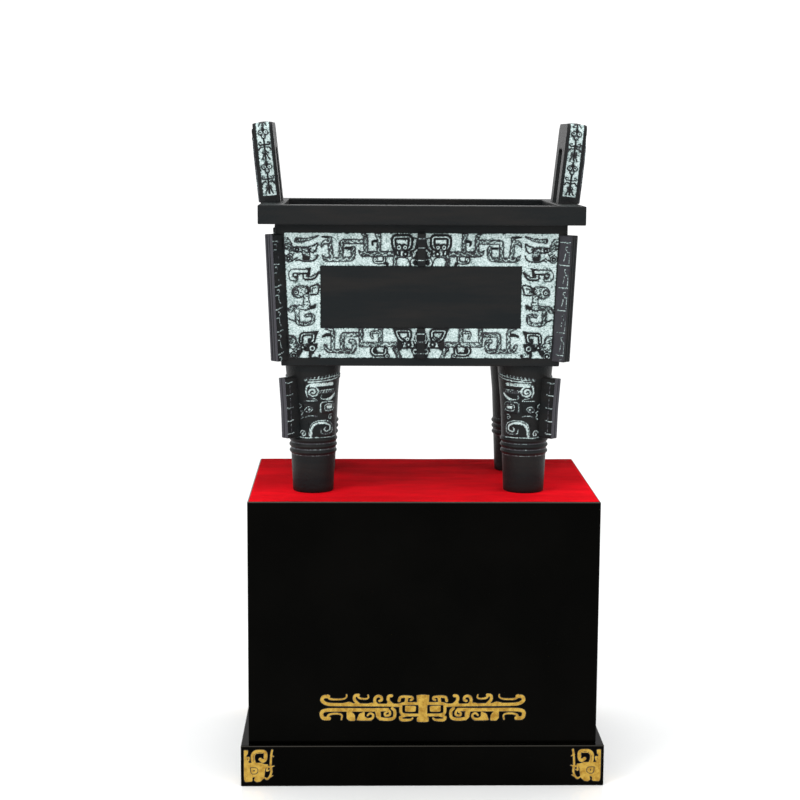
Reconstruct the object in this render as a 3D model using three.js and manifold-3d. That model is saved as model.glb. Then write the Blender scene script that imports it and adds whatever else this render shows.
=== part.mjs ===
// A rectangular bronze ding on four round legs, cast in one piece, with the lacquered
// plinth made for it and the cloth that lies between them.
// Millimetres, +Z up. X runs along the long sides and the front faces -Y. The origin is
// the middle of the plinth's underside.

import * as THREE from 'three';
import { mergeVertices } from 'three/addons/utils/BufferGeometryUtils.js';
import Module from 'manifold-3d';

const wasm = await Module();
wasm.setup();

// Plinth: boards, base, box and cloth
const BOARD = 18;
const BOX_LENGTH = 604;
const BOX_DEPTH = 414;
const BOX_HEIGHT = 427;
const BASE_STEP = 13;
const BASE_HEIGHT = 73;
const CLOTH_THICKNESS = 1.5;
const CLOTH_INSET = 2.5;

// How far the vessel stands from the plinth's middle along X
const VESSEL_SHIFT = -7;

// Vessel body, with heights above its feet
const BODY_LENGTH = 495;
const BODY_DEPTH = 339;
const BODY_HEIGHT = 228;
const BODY_TAPER = 9.5;
const NECK_HEIGHT = 14.5;
const RIM_OVERHANG = 27.5;
const RIM_HEIGHT = 32;
const WALL = 12;
const FLOOR = 14;

// Legs: height, distance of each axis from the body's lower corner, and the turned profile
const LEG_HEIGHT = 226;
const LEG_INSET_X = 53;
const LEG_INSET_Y = 58;
const LEG_FOOT_RADIUS = 35.5;
const LEG_TOP_RADIUS = 48.5;
const LEG_FLARE_START = 150;
const LEG_FLARE_RADIUS = 41.6;
const LEG_SIDES = 14;
const LEG_SINK = 4;
const RING_COUNT = 3;
const RING_START = 66;
const RING_PITCH = 10.7;
const RING_RISE = 3;

// Ribs that stand out from the corners, the middle of each side and the legs
const CORNER_RIB_THICKNESS = 18.4;
const CORNER_RIB_REACH = 15.7;
const CORNER_RIB_BOTTOM = 9;
const CORNER_RIB_TOP_GAP = 3;
const MIDDLE_RIB_THICKNESS = 14;
const MIDDLE_RIB_REACH = 11;
const LEG_RIB_THICKNESS = 15.5;
const LEG_RIB_BOTTOM = 99;
const LEG_RIB_TOP = 204;
const LEG_RIB_REACH = 28.5;

// Ears on the two short sides
const EAR_WIDTH = 130;
const EAR_HEIGHT = 140;
const EAR_THICKNESS = 34.5;
const EAR_BORDER = 5;
const EAR_CROWN = 3;
const EAR_CORNER = 14;
const EAR_OPENING_WIDTH = 52;
const EAR_OPENING_HEIGHT = 92;
const EAR_OPENING_CORNER = 10;
const EAR_CURVE_STEPS = 2;
const EAR_LEAN = 6 * Math.PI / 180;
const EAR_INSET = 15.5;
const EAR_SINK = 4;
const EAR_CREATURE_HEIGHTS = [62, 121];

// Ornament: bands above and below a bare field, columns beside it, and figures on them
const UPPER_BAND_HEIGHT = 56.3;
const LOWER_BAND_HEIGHT = 51.6;
const COLUMN_WIDTH = 77;
const PLAIN_FOOT = 14;
const PANEL_EDGE = 9;
const PANEL_RISE = 1;
const FIGURE_RISE = 2.4;
const BOSS_RISE = 1.2;
const LEG_FIGURE_RISE = 1.8;
const EAR_FIGURE_RISE = 1.5;
const EMBED = 3;
const CUT_THROUGH = 5;

const bronze = new THREE.MeshStandardMaterial({ color: 0x5d6f69, roughness: 0.5, metalness: 0.8 });
const cloth = new THREE.MeshStandardMaterial({ color: 0xc80f1c, roughness: 1, metalness: 0 });
const lacquer = new THREE.MeshStandardMaterial({ color: 0x0b0a09, roughness: 0.12, metalness: 0 });

// Turns a closed geometry into a solid that can be cut and joined
function solid(geometry) {
  const bare = geometry.clone();
  bare.deleteAttribute('normal');
  bare.deleteAttribute('uv');
  const merged = mergeVertices(bare, 1e-4);
  return new wasm.Manifold(new wasm.Mesh({
    numProp: 3,
    vertProperties: new Float32Array(merged.attributes.position.array),
    triVerts: new Uint32Array(merged.index.array),
  }));
}

// Turns a solid back into a named mesh
function mesh(name, body, material) {
  const result = body.getMesh();
  const geometry = new THREE.BufferGeometry();
  geometry.setAttribute('position', new THREE.BufferAttribute(result.vertProperties, 3));
  geometry.setIndex(new THREE.BufferAttribute(result.triVerts, 1));
  geometry.computeVertexNormals();
  const item = new THREE.Mesh(geometry, material);
  item.name = name;
  return item;
}

function joined(solids) {
  return solids.reduce((sum, next) => sum.add(next));
}

// A box by its sizes and the middle of its underside
function block(length, depth, height, x = 0, y = 0, bottom = 0) {
  const geometry = new THREE.BoxGeometry(length, depth, height);
  geometry.translate(x, y, bottom + height / 2);
  return geometry;
}

// A block whose underside is smaller than its top by the same amount on every side
function taperedBlock(length, depth, height, taper, bottom) {
  const geometry = block(length, depth, height, 0, 0, bottom);
  const position = geometry.attributes.position;
  for (let i = 0; i < position.count; i += 1) {
    if (position.getZ(i) < bottom + height / 2) {
      position.setX(i, position.getX(i) - Math.sign(position.getX(i)) * taper);
      position.setY(i, position.getY(i) - Math.sign(position.getY(i)) * taper);
    }
  }
  return geometry;
}

// Marks of the ornament: a line of even or tapering width, and a boss of a few sides
const line = (points, width, endWidth = width) => ({ points, width, endWidth });
const boss = (centre, radius, sides = 5) => ({ centre, radius, sides });

// The sideways step, at one point of a line, that gives the line half its width there
function sideStep(before, point, after, half) {
  const arriving = point.clone().sub(before).normalize();
  const leaving = after.clone().sub(point).normalize();
  const along = arriving.clone().add(leaving).normalize();
  const reach = half / Math.max(along.dot(leaving), 0.6);
  return new THREE.Vector2(-along.y * reach, along.x * reach);
}

function lineShape(points, width, endWidth) {
  const last = points.length - 1;
  const left = [];
  const right = [];
  points.forEach((point, i) => {
    const before = i > 0 ? points[i - 1] : point.clone().multiplyScalar(2).sub(points[1]);
    const after = i < last ? points[i + 1] : point.clone().multiplyScalar(2).sub(points[last - 1]);
    const half = THREE.MathUtils.lerp(width, endWidth, i / last) / 2;
    const step = sideStep(before, point, after, half);
    left.push(point.clone().add(step));
    right.unshift(point.clone().sub(step));
  });
  return new THREE.Shape([...left, ...right]);
}

function bossShape(centre, radius, sides) {
  const corners = [];
  for (let i = 0; i < sides; i += 1) {
    const angle = i * 2 * Math.PI / sides;
    corners.push(new THREE.Vector2(centre.x + radius * Math.cos(angle), centre.y + radius * Math.sin(angle)));
  }
  return new THREE.Shape(corners);
}

// One mark as a prism. place turns the mark's own grid into millimetres and unit is one
// step of that grid.
function markPrism(mark, place, unit, floor, top) {
  const shape = mark.centre
    ? bossShape(place(mark.centre), mark.radius * unit, mark.sides)
    : lineShape(mark.points.map(place), mark.width * unit, mark.endWidth * unit);
  const height = top + (mark.centre ? BOSS_RISE : 0) - floor;
  const geometry = new THREE.ExtrudeGeometry(shape, { depth: height, bevelEnabled: false });
  geometry.translate(0, 0, floor);
  return geometry;
}

// Figures of the ornament. Each has main marks, and fine ones that only the front carries.
// Half a beast mask beside a middle rib: horn, eye, cheek and nose. Its grid runs away
// from the middle and downwards, in cells of the ornament.
const middleMask = {
  main: [
    line([[7.4, 4.4], [8.3, 3.6], [8.4, 1], [2.9, 1], [3.2, 3.9], [4.4, 4.4]], 0.8),
    boss([4.8, 6.2], 0.85),
  ],
  fine: [
    line([[6.9, 5.5], [8.1, 9.5]], 1.1),
    line([[2.3, 5.4], [2.8, 7.2]], 1),
    boss([2.2, 8.7], 0.8),
  ],
};

// The one-legged dragons between mask and column, counted from the mask
const longDragons = {
  main: [
    line([[7.9, 0.7], [7.9, 6.2], [-0.6, 6.2]], 1.2),
    line([[4.1, 0.7], [4.1, 6]], 1.2),
    line([[7.9, 2.6], [15.2, 2.6], [15.2, 7.8]], 1.1),
    line([[11.2, 7.9], [20.2, 7.9]], 1.1),
    line([[17.9, 7.8], [17.9, 1.1]], 1.2),
  ],
  fine: [
    line([[2.2, 8.9], [5.2, 8.9]], 1.2),
  ],
};
const shortDragon = {
  main: [
    line([[6.1, 0.7], [6.1, 6.2], [-0.6, 6.2]], 1.2),
    line([[3, 0.7], [3, 6]], 1.2),
  ],
  fine: [],
};
const LONG_RUN = 20.5;
const SHORT_RUN = 7.2;
const MASK_RUN = 8.3;

// Corner figures, counted inwards from the corner rib
const upperCornerMask = {
  main: [
    line([[4.2, 2.2], [10.3, 1.2]], 1.4, 0.3),
    boss([4.4, 5.1], 0.8),
    boss([8.7, 4.6], 1.5, 4),
    line([[0.9, 1.7], [3.1, 5.6]], 1),
  ],
  fine: [
    line([[4.3, 8.6], [9.8, 8.3]], 1),
    line([[6, 7], [7.8, 7]], 1.2),
    boss([1.6, 8], 0.7),
  ],
};
const lowerCornerMask = {
  main: [
    line([[4.4, 4.4], [4, 1.9], [8.6, 1.3], [7.7, 4.4]], 0.9),
    boss([4.7, 6.1], 0.8),
    line([[1.3, 2.9], [3.3, 6.4]], 1),
  ],
  fine: [
    line([[6.1, 6.1], [8.7, 6.1]], 1.3),
    line([[7, 6.5], [7, 9.5]], 0.9),
    boss([2, 8.4], 0.85),
  ],
};
const columnFigures = {
  main: [
    line([[5.4, 0.8], [1.4, 0.8], [1.4, 3.6], [3, 3.6]], 0.9),
    boss([3.7, 7.3], 1.7),
    line([[6, 5.7], [6, 12.3]], 1.5),
    boss([8.8, 6.6], 1.5, 4),
    line([[3.7, 12.1], [3.7, 16.2], [8, 16.2], [8.5, 13.5]], 1.3),
  ],
  fine: [
    line([[6, 11.8], [1.8, 11.5]], 1.2),
    line([[5.3, 3.5], [9.5, 2.6]], 0.9),
  ],
};
const COLUMN_RUN = 17.4;
const CORNER_RUN = 11.8;
const UPPER_RUN = 10;
const LOWER_RUN = 9.4;

// The ornament of one side, in its own plane: x along the side from its middle, y up from
// the body's underside, z outwards from the wall
function panel(topLength, dragons, dragonRun, withFine) {
  const bareHalf = topLength / 2 - COLUMN_WIDTH;
  const bareHeight = BODY_HEIGHT - PLAIN_FOOT - UPPER_BAND_HEIGHT - LOWER_BAND_HEIGHT;
  const slope = BODY_TAPER / BODY_HEIGHT;
  const edgeAt = (y) => topLength / 2 - PANEL_EDGE - (BODY_HEIGHT - y) * slope;

  const plate = new THREE.Shape([
    new THREE.Vector2(-edgeAt(PLAIN_FOOT), PLAIN_FOOT),
    new THREE.Vector2(edgeAt(PLAIN_FOOT), PLAIN_FOOT),
    new THREE.Vector2(edgeAt(BODY_HEIGHT), BODY_HEIGHT),
    new THREE.Vector2(-edgeAt(BODY_HEIGHT), BODY_HEIGHT),
  ]);
  const bareBottom = PLAIN_FOOT + LOWER_BAND_HEIGHT;
  plate.holes.push(new THREE.Path([
    new THREE.Vector2(-bareHalf, bareBottom),
    new THREE.Vector2(-bareHalf, bareBottom + bareHeight),
    new THREE.Vector2(bareHalf, bareBottom + bareHeight),
    new THREE.Vector2(bareHalf, bareBottom),
  ]));
  const plateGeometry = new THREE.ExtrudeGeometry(plate, { depth: EMBED + PANEL_RISE, bevelEnabled: false });
  plateGeometry.translate(0, 0, -EMBED);
  const solids = [solid(plateGeometry)];

  const top = PANEL_RISE + FIGURE_RISE;
  const add = (figure, place, unit) => {
    const marks = withFine ? [...figure.main, ...figure.fine] : figure.main;
    marks.forEach((mark) => solids.push(solid(markPrism(mark, place, unit, -EMBED / 2, top))));
  };
  const cell = (COLUMN_WIDTH - PANEL_EDGE) / CORNER_RUN;
  const upperRow = UPPER_BAND_HEIGHT / UPPER_RUN;
  const lowerRow = LOWER_BAND_HEIGHT / LOWER_RUN;
  const maskHalf = MASK_RUN * cell;
  const dragonCell = (bareHalf - maskHalf) / dragonRun;

  [-1, 1].forEach((side) => {
    [[BODY_HEIGHT, upperRow], [bareBottom, lowerRow]].forEach(([bandTop, row]) => {
      const fromMiddle = (start, unit) => ([x, y]) => (
        new THREE.Vector2(side * (start + x * unit), bandTop - y * row)
      );
      add(middleMask, fromMiddle(0, cell), cell);
      add(dragons, fromMiddle(maskHalf, dragonCell), cell);
    });
    const fromCorner = (start, row) => ([x, y]) => {
      const height = start - y * row;
      return new THREE.Vector2(side * (edgeAt(height) - x * cell), height);
    };
    add(upperCornerMask, fromCorner(BODY_HEIGHT, upperRow), cell);
    add(columnFigures, fromCorner(BODY_HEIGHT - UPPER_BAND_HEIGHT, bareHeight / COLUMN_RUN), cell);
    add(lowerCornerMask, fromCorner(bareBottom, lowerRow), cell);
  });

  const rib = (bottom, height) => solid(block(
    MIDDLE_RIB_THICKNESS, height, EMBED + MIDDLE_RIB_REACH, 0, bottom + height / 2, -EMBED,
  ));
  solids.push(rib(BODY_HEIGHT - UPPER_BAND_HEIGHT, UPPER_BAND_HEIGHT), rib(PLAIN_FOOT, LOWER_BAND_HEIGHT));
  return joined(solids);
}

// Stands a panel against the leaning wall of one side
function onSide(body, turn, topHalf) {
  const lean = Math.atan2(BODY_TAPER, BODY_HEIGHT);
  const place = new THREE.Matrix4().makeRotationZ(turn)
    .multiply(new THREE.Matrix4().makeTranslation(0, BODY_TAPER - topHalf, LEG_HEIGHT))
    .multiply(new THREE.Matrix4().makeRotationX(Math.PI / 2 + lean));
  return body.transform(place.toArray());
}

function cornerRib() {
  const lean = BODY_TAPER * Math.SQRT2 / BODY_HEIGHT;
  const outside = (height) => CORNER_RIB_REACH + height * lean;
  const topHeight = BODY_HEIGHT - CORNER_RIB_TOP_GAP;
  const inside = -WALL;
  const geometry = new THREE.ExtrudeGeometry(new THREE.Shape([
    new THREE.Vector2(inside + CORNER_RIB_BOTTOM * lean, CORNER_RIB_BOTTOM),
    new THREE.Vector2(outside(CORNER_RIB_BOTTOM), CORNER_RIB_BOTTOM),
    new THREE.Vector2(outside(topHeight), topHeight),
    new THREE.Vector2(inside + topHeight * lean, topHeight),
  ]), { depth: CORNER_RIB_THICKNESS, bevelEnabled: false });
  geometry.translate(0, 0, -CORNER_RIB_THICKNESS / 2);
  geometry.rotateX(Math.PI / 2);
  return solid(geometry);
}

// Turns a solid that faces +X about the upright axis and stands it at a place
function standAt(body, turn, x, y, bottom) {
  const place = new THREE.Matrix4().makeTranslation(x, y, bottom)
    .multiply(new THREE.Matrix4().makeRotationZ(turn));
  return body.transform(place.toArray());
}

// Radius of a leg at a height above its foot, without the rings
function legRadius(height) {
  if (height < LEG_FLARE_START) {
    return THREE.MathUtils.lerp(LEG_FOOT_RADIUS, LEG_FLARE_RADIUS, height / LEG_FLARE_START);
  }
  const share = (height - LEG_FLARE_START) / (LEG_HEIGHT - LEG_FLARE_START);
  return THREE.MathUtils.lerp(LEG_FLARE_RADIUS, LEG_TOP_RADIUS, share);
}

function legCore() {
  const profile = [new THREE.Vector2(0, 0), new THREE.Vector2(LEG_FOOT_RADIUS, 0)];
  for (let i = 0; i < RING_COUNT; i += 1) {
    const bottom = RING_START + i * RING_PITCH;
    profile.push(new THREE.Vector2(legRadius(bottom), bottom));
    profile.push(new THREE.Vector2(legRadius(bottom) + RING_RISE, bottom + RING_PITCH / 2));
  }
  const ringTop = RING_START + RING_COUNT * RING_PITCH;
  profile.push(new THREE.Vector2(legRadius(ringTop), ringTop));
  profile.push(new THREE.Vector2(LEG_FLARE_RADIUS, LEG_FLARE_START));
  profile.push(new THREE.Vector2(LEG_TOP_RADIUS, LEG_HEIGHT));
  profile.push(new THREE.Vector2(LEG_TOP_RADIUS, LEG_HEIGHT + LEG_SINK));
  profile.push(new THREE.Vector2(0, LEG_HEIGHT + LEG_SINK));
  const geometry = new THREE.LatheGeometry(profile, LEG_SIDES, Math.PI / LEG_SIDES);
  geometry.rotateX(Math.PI / 2);
  return solid(geometry);
}

// The beast mask on a leg, counted from the rib round the leg and up from its foot
const legMask = [
  line([[80, 204], [52, 202], [25, 199], [25, 178], [40, 178]], 5.5),
  line([[50, 152], [73, 152]], 14),
  boss([28, 151], 6),
  line([[31, 104], [33, 125], [58, 127], [72, 110]], 6.5),
];

// Bends a prism from the flat round a leg: x is the way round from the rib, y the height
// and z the rise from the surface
function wrapRoundLeg(geometry) {
  const position = geometry.attributes.position;
  for (let i = 0; i < position.count; i += 1) {
    const height = position.getY(i);
    const angle = position.getX(i) / LEG_FLARE_RADIUS;
    const radius = legRadius(height) + position.getZ(i);
    position.setXYZ(i, radius * Math.cos(angle), radius * Math.sin(angle), height);
  }
  return geometry;
}

// A whole leg, with its rib and mask towards +X
function leg() {
  const solids = [legCore()];
  [-1, 1].forEach((side) => {
    const place = ([x, y]) => new THREE.Vector2(side * x, y);
    legMask.forEach((mark) => {
      solids.push(solid(wrapRoundLeg(markPrism(mark, place, 1, -EMBED, LEG_FIGURE_RISE))));
    });
  });
  const rib = new THREE.ExtrudeGeometry(new THREE.Shape([
    new THREE.Vector2(0, LEG_RIB_BOTTOM),
    new THREE.Vector2(legRadius(LEG_RIB_BOTTOM) + LEG_RIB_REACH, LEG_RIB_BOTTOM),
    new THREE.Vector2(legRadius(LEG_RIB_TOP) + LEG_RIB_REACH, LEG_RIB_TOP),
    new THREE.Vector2(0, LEG_RIB_TOP),
  ]), { depth: LEG_RIB_THICKNESS, bevelEnabled: false });
  rib.translate(0, 0, -LEG_RIB_THICKNESS / 2);
  rib.rotateX(Math.PI / 2);
  solids.push(solid(rib));
  return joined(solids);
}

// The outline of an ear, upright, from below the rim's top up over its opening
function earOutline() {
  const half = EAR_WIDTH / 2 - EAR_CROWN;
  const top = EAR_HEIGHT - EAR_CROWN;
  const openHalf = EAR_OPENING_WIDTH / 2 + EAR_CROWN;
  const openTop = EAR_OPENING_HEIGHT + EAR_CROWN;
  const outline = new THREE.Shape();
  outline.moveTo(half, -EAR_SINK);
  outline.lineTo(half, top - EAR_CORNER);
  outline.absarc(half - EAR_CORNER, top - EAR_CORNER, EAR_CORNER, 0, Math.PI / 2, false);
  outline.absarc(EAR_CORNER - half, top - EAR_CORNER, EAR_CORNER, Math.PI / 2, Math.PI, false);
  outline.lineTo(-half, -EAR_SINK);
  outline.lineTo(-openHalf, -EAR_SINK);
  const bend = EAR_OPENING_CORNER;
  outline.lineTo(-openHalf, openTop - bend);
  outline.absarc(bend - openHalf, openTop - bend, bend, Math.PI, Math.PI / 2, true);
  outline.absarc(openHalf - bend, openTop - bend, bend, Math.PI / 2, 0, true);
  outline.lineTo(openHalf, -EAR_SINK);
  return outline;
}

// The small creatures on the narrow edges of an ear, counted from their eyes
const earCreature = [
  boss([4.7, 0], 3.9, 4),
  boss([-4.7, 0], 3.9, 4),
  line([[0, -1], [0, -44]], 3),
  line([[-11, -20], [11, -20]], 4),
];

// The beasts that climb the outer face of an ear, for one half of it
const earBeast = [
  line([[50, 8], [50, 70], [45, 92], [24, 112]], 12, 8),
  boss([14, 116], 9),
  line([[46, 44], [33, 38]], 7),
];

// An ear in its own frame: x across, y up from the rim's top and z outwards
function ear() {
  const geometry = new THREE.ExtrudeGeometry(earOutline(), {
    depth: EAR_THICKNESS - 2 * EAR_BORDER,
    curveSegments: EAR_CURVE_STEPS,
    bevelThickness: EAR_BORDER,
    bevelSize: EAR_CROWN,
    bevelSegments: 1,
  });
  geometry.translate(0, 0, EAR_BORDER - EAR_THICKNESS / 2);
  const solids = [solid(geometry)];

  [-1, 1].forEach((side) => {
    const upright = ([x, y]) => new THREE.Vector2(side * x, y);
    earBeast.forEach((mark) => {
      const prism = markPrism(mark, upright, 1, EAR_THICKNESS / 2 - EMBED, EAR_THICKNESS / 2 + FIGURE_RISE);
      solids.push(solid(prism));
    });
    EAR_CREATURE_HEIGHTS.forEach((height) => {
      earCreature.forEach((mark) => {
        const place = ([x, y]) => new THREE.Vector2(x, y + height);
        const prism = markPrism(mark, place, 1, EAR_WIDTH / 2 - EMBED, EAR_WIDTH / 2 + EAR_FIGURE_RISE);
        prism.rotateY(side * Math.PI / 2);
        solids.push(solid(prism));
      });
    });
  });
  return joined(solids);
}

function vessel() {
  const halfLength = BODY_LENGTH / 2;
  const halfDepth = BODY_DEPTH / 2;
  const neckBottom = LEG_HEIGHT + BODY_HEIGHT;
  const rimBottom = neckBottom + NECK_HEIGHT;
  const rimTop = rimBottom + RIM_HEIGHT;
  const rimLength = BODY_LENGTH + 2 * RIM_OVERHANG;
  const rimDepth = BODY_DEPTH + 2 * RIM_OVERHANG;

  const solids = [
    solid(taperedBlock(BODY_LENGTH, BODY_DEPTH, BODY_HEIGHT, BODY_TAPER, LEG_HEIGHT)),
    solid(block(BODY_LENGTH, BODY_DEPTH, NECK_HEIGHT, 0, 0, neckBottom)),
    solid(block(rimLength, rimDepth, RIM_HEIGHT, 0, 0, rimBottom)),
  ];

  const frontPanel = panel(BODY_LENGTH, longDragons, LONG_RUN, true);
  const backPanel = panel(BODY_LENGTH, longDragons, LONG_RUN, false);
  const shortPanel = panel(BODY_DEPTH, shortDragon, SHORT_RUN, false);
  solids.push(onSide(frontPanel, 0, halfDepth), onSide(backPanel, Math.PI, halfDepth));
  solids.push(onSide(shortPanel, Math.PI / 2, halfLength), onSide(shortPanel, -Math.PI / 2, halfLength));

  const rib = cornerRib();
  const oneLeg = leg();
  const footX = halfLength - BODY_TAPER;
  const footY = halfDepth - BODY_TAPER;
  [-1, 1].forEach((signX) => {
    [-1, 1].forEach((signY) => {
      const turn = Math.atan2(signY, signX);
      solids.push(standAt(rib, turn, signX * footX, signY * footY, LEG_HEIGHT));
      solids.push(standAt(oneLeg, turn, signX * (footX - LEG_INSET_X), signY * (footY - LEG_INSET_Y), 0));
    });
  });

  const upright = new THREE.Matrix4().makeBasis(
    new THREE.Vector3(0, 1, 0), new THREE.Vector3(0, 0, 1), new THREE.Vector3(1, 0, 0),
  );
  const leaning = new THREE.Matrix4().makeRotationY(EAR_LEAN).multiply(upright);
  const oneEar = ear().transform(leaning.toArray());
  const earX = rimLength / 2 - EAR_INSET;
  solids.push(standAt(oneEar, 0, earX, 0, rimTop), standAt(oneEar, Math.PI, -earX, 0, rimTop));

  const insideLength = BODY_LENGTH - 2 * WALL;
  const insideDepth = BODY_DEPTH - 2 * WALL;
  const insideTaper = BODY_TAPER * (BODY_HEIGHT - FLOOR) / BODY_HEIGHT;
  const hollow = solid(taperedBlock(
    insideLength, insideDepth, BODY_HEIGHT - FLOOR, insideTaper, LEG_HEIGHT + FLOOR,
  )).add(solid(block(insideLength, insideDepth, NECK_HEIGHT + RIM_HEIGHT + CUT_THROUGH, 0, 0, neckBottom)));
  return joined(solids).subtract(hollow);
}

// Plinth box: open below, closed on top
function plinthBox() {
  const inside = block(
    BOX_LENGTH - 2 * BOARD, BOX_DEPTH - 2 * BOARD, BOX_HEIGHT - BOARD + CUT_THROUGH, 0, 0, -CUT_THROUGH,
  );
  return solid(block(BOX_LENGTH, BOX_DEPTH, BOX_HEIGHT)).subtract(solid(inside));
}

// Plinth base: a low frame, wider than the box that stands on it
function plinthBase() {
  const inside = block(
    BOX_LENGTH - 2 * BOARD, BOX_DEPTH - 2 * BOARD, BASE_HEIGHT + 2 * CUT_THROUGH, 0, 0, -CUT_THROUGH,
  );
  const outside = block(BOX_LENGTH + 2 * BASE_STEP, BOX_DEPTH + 2 * BASE_STEP, BASE_HEIGHT);
  return solid(outside).subtract(solid(inside));
}

const clothSheet = solid(block(BOX_LENGTH - 2 * CLOTH_INSET, BOX_DEPTH - 2 * CLOTH_INSET, CLOTH_THICKNESS));

const base = mesh('plinth_base', plinthBase(), lacquer);
const box = mesh('plinth_box', plinthBox(), lacquer);
box.position.z = BASE_HEIGHT;
const cover = mesh('velvet_cover', clothSheet, cloth);
cover.position.z = BASE_HEIGHT + BOX_HEIGHT;
const ding = mesh('ding_vessel', vessel(), bronze);
ding.position.set(VESSEL_SHIFT, 0, BASE_HEIGHT + BOX_HEIGHT + CLOTH_THICKNESS);

const part = new THREE.Group();
part.add(base, box, cover, ding);
export default part;
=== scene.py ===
# Looks of a bronze ding on its lacquered plinth: relief, patina, velvet and gold ornament.
# Ornament is laid out in millimetres, and its meshes are made in metres in the part's frame.

import functools
import math

import bpy
import numpy as np
from mathutils import Matrix, Vector


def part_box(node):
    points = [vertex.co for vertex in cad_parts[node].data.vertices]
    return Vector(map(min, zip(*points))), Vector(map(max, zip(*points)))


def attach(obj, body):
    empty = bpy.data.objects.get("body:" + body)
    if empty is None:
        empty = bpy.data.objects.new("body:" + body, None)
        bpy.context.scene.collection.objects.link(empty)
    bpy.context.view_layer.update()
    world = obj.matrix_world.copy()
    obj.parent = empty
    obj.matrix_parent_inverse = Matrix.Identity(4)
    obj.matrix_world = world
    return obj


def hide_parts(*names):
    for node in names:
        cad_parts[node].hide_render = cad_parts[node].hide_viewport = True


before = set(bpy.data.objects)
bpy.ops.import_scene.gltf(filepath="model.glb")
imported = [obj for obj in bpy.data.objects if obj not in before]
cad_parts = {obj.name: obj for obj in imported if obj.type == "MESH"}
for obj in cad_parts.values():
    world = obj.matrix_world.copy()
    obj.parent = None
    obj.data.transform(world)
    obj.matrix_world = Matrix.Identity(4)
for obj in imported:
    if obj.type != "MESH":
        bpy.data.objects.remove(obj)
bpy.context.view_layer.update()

MM = 0.001

# How far the vessel stands from the plinth's middle along X, in millimetres
VESSEL_SHIFT = -7

# Vessel, in millimetres, with heights above its feet
BODY_LENGTH = 495
BODY_DEPTH = 339
BODY_HEIGHT = 228
BODY_TAPER = 9.5
BODY_SLOPE = BODY_TAPER / BODY_HEIGHT
NECK_HEIGHT = 14.5
RIM_OVERHANG = 27.5
RIM_HEIGHT = 32
WALL = 12
FLOOR = 14
LEG_HEIGHT = 226
RIM_TOP = LEG_HEIGHT + BODY_HEIGHT + NECK_HEIGHT + RIM_HEIGHT
LEG_INSET_X = 53
LEG_INSET_Y = 58
LEG_FOOT_RADIUS = 35.5
LEG_TOP_RADIUS = 48.5
LEG_FLARE_START = 150
LEG_FLARE_RADIUS = 41.6
LEG_SINK = 3
RING_COUNT = 3
RING_START = 66
RING_PITCH = 10.7
RING_RISE = 3
EDGE_ROUND = 1.8
EDGE_ROUND_STEPS = 3
EDGE_ROUND_ABOVE = math.radians(30)

# Ribs on the corners, the middle of each side and the legs
CORNER_RIB_THICKNESS = 18.4
CORNER_RIB_REACH = 15.7
CORNER_RIB_BOTTOM = 9
CORNER_RIB_TOP_GAP = 3
MIDDLE_RIB_THICKNESS = 14
MIDDLE_RIB_REACH = 11
LEG_RIB_THICKNESS = 15.5
LEG_RIB_BOTTOM = 99
LEG_RIB_TOP = 204
LEG_RIB_REACH = 28.5
RIB_STEP = 1.3
RIB_CHAMFER = 1.2

# Ears
EAR_WIDTH = 130
EAR_HEIGHT = 140
EAR_THICKNESS = 34.5
EAR_BORDER = 5
EAR_CROWN = 3
EAR_CORNER = 14
EAR_OPENING_WIDTH = 52
EAR_OPENING_HEIGHT = 92
EAR_OPENING_CORNER = 10
EAR_LEAN = math.radians(6)
EAR_INSET = 15.5
EAR_SINK = 4
EAR_STEP = 1.3

# Ornament
CELL = 5.85
MASK_RUN = 8.3
UPPER_BAND_HEIGHT = 56.3
LOWER_BAND_HEIGHT = 51.6
COLUMN_WIDTH = 77
PLAIN_FOOT = 14
PANEL_EDGE = 15
FIGURE_EDGE = 9
COLUMN_DROP = 58.5
LOWER_BAND_DROP = 160.9
PANEL_RISE = 1
PANEL_SINK = 2
CUT_DEPTH = 0.5
BORDER_TONE = 0.4
BORDER_RUN = 1.6
FIGURE_RISE = 2.3
EDGE_RUN = 1.1
EYE_DOME = 1.6

# Marks, in the units that they are drawn in
TIGHT_BEND = 0.45
SECOND_CUT = 0.4
LINE_ROUND = 0.22
PATCH_ROUND = 0.12
PATCH_ROW = 1.1
PATCH_HALF = 0.5
RING_SIDES = 15
SPIRAL_POINTS = 14
SPIRAL_CLOSE = 0.85
FAR = 1e3
TINY = 1e-9

# Plinth and cloth
BOARD = 18
BOX_ROUND = 1.2
BOX_STEP = 40
BOX_FOOT_STEP = 12
BASE_STEP = 30
# Painted highlight along a box's top edge, and the run of close rows below that edge
PAINTED_EDGE_HIGHLIGHT = 0.2
EDGE_HIGHLIGHT_RUN = 2
GOLD_STEP = 1.3
ON_FACE = 0.01
CLOTH_STEP = 6

feet_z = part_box("ding_vessel")[0].z


def smooth(value, low, high):
    """0 below low, 1 above high and a smooth step between."""
    share = np.clip((value - low) / (high - low), 0, 1)
    return share * share * (3 - 2 * share)


def ticks(*runs):
    """Grid lines through runs of (start, end, step)."""
    parts = [np.linspace(a, b, max(1, round(abs(b - a) / step)) + 1)[:-1] for a, b, step in runs]
    return np.concatenate(parts + [np.array([runs[-1][1]], float)])


def line(points, width, look="edge", end=None, bend=math.inf):
    """A mark through points, of one width or two. Its bends are cut by bend at most."""
    ends = {"half": width / 2, "end_half": (end or width) / 2}
    return {"kind": "line", "points": points, "look": look, "bend": bend, **ends}


def bar(points, width, look="worked", end=None):
    """A line whose bends stay tight."""
    return line(points, width, look, end, TIGHT_BEND)


def boss(centre, radius, look="eye"):
    return {"kind": "boss", "points": [centre], "half": radius, "look": look}


def patch(points, look="dark"):
    """A mark with an outline."""
    return {"kind": "patch", "points": points, "half": PATCH_HALF, "look": look}


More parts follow.
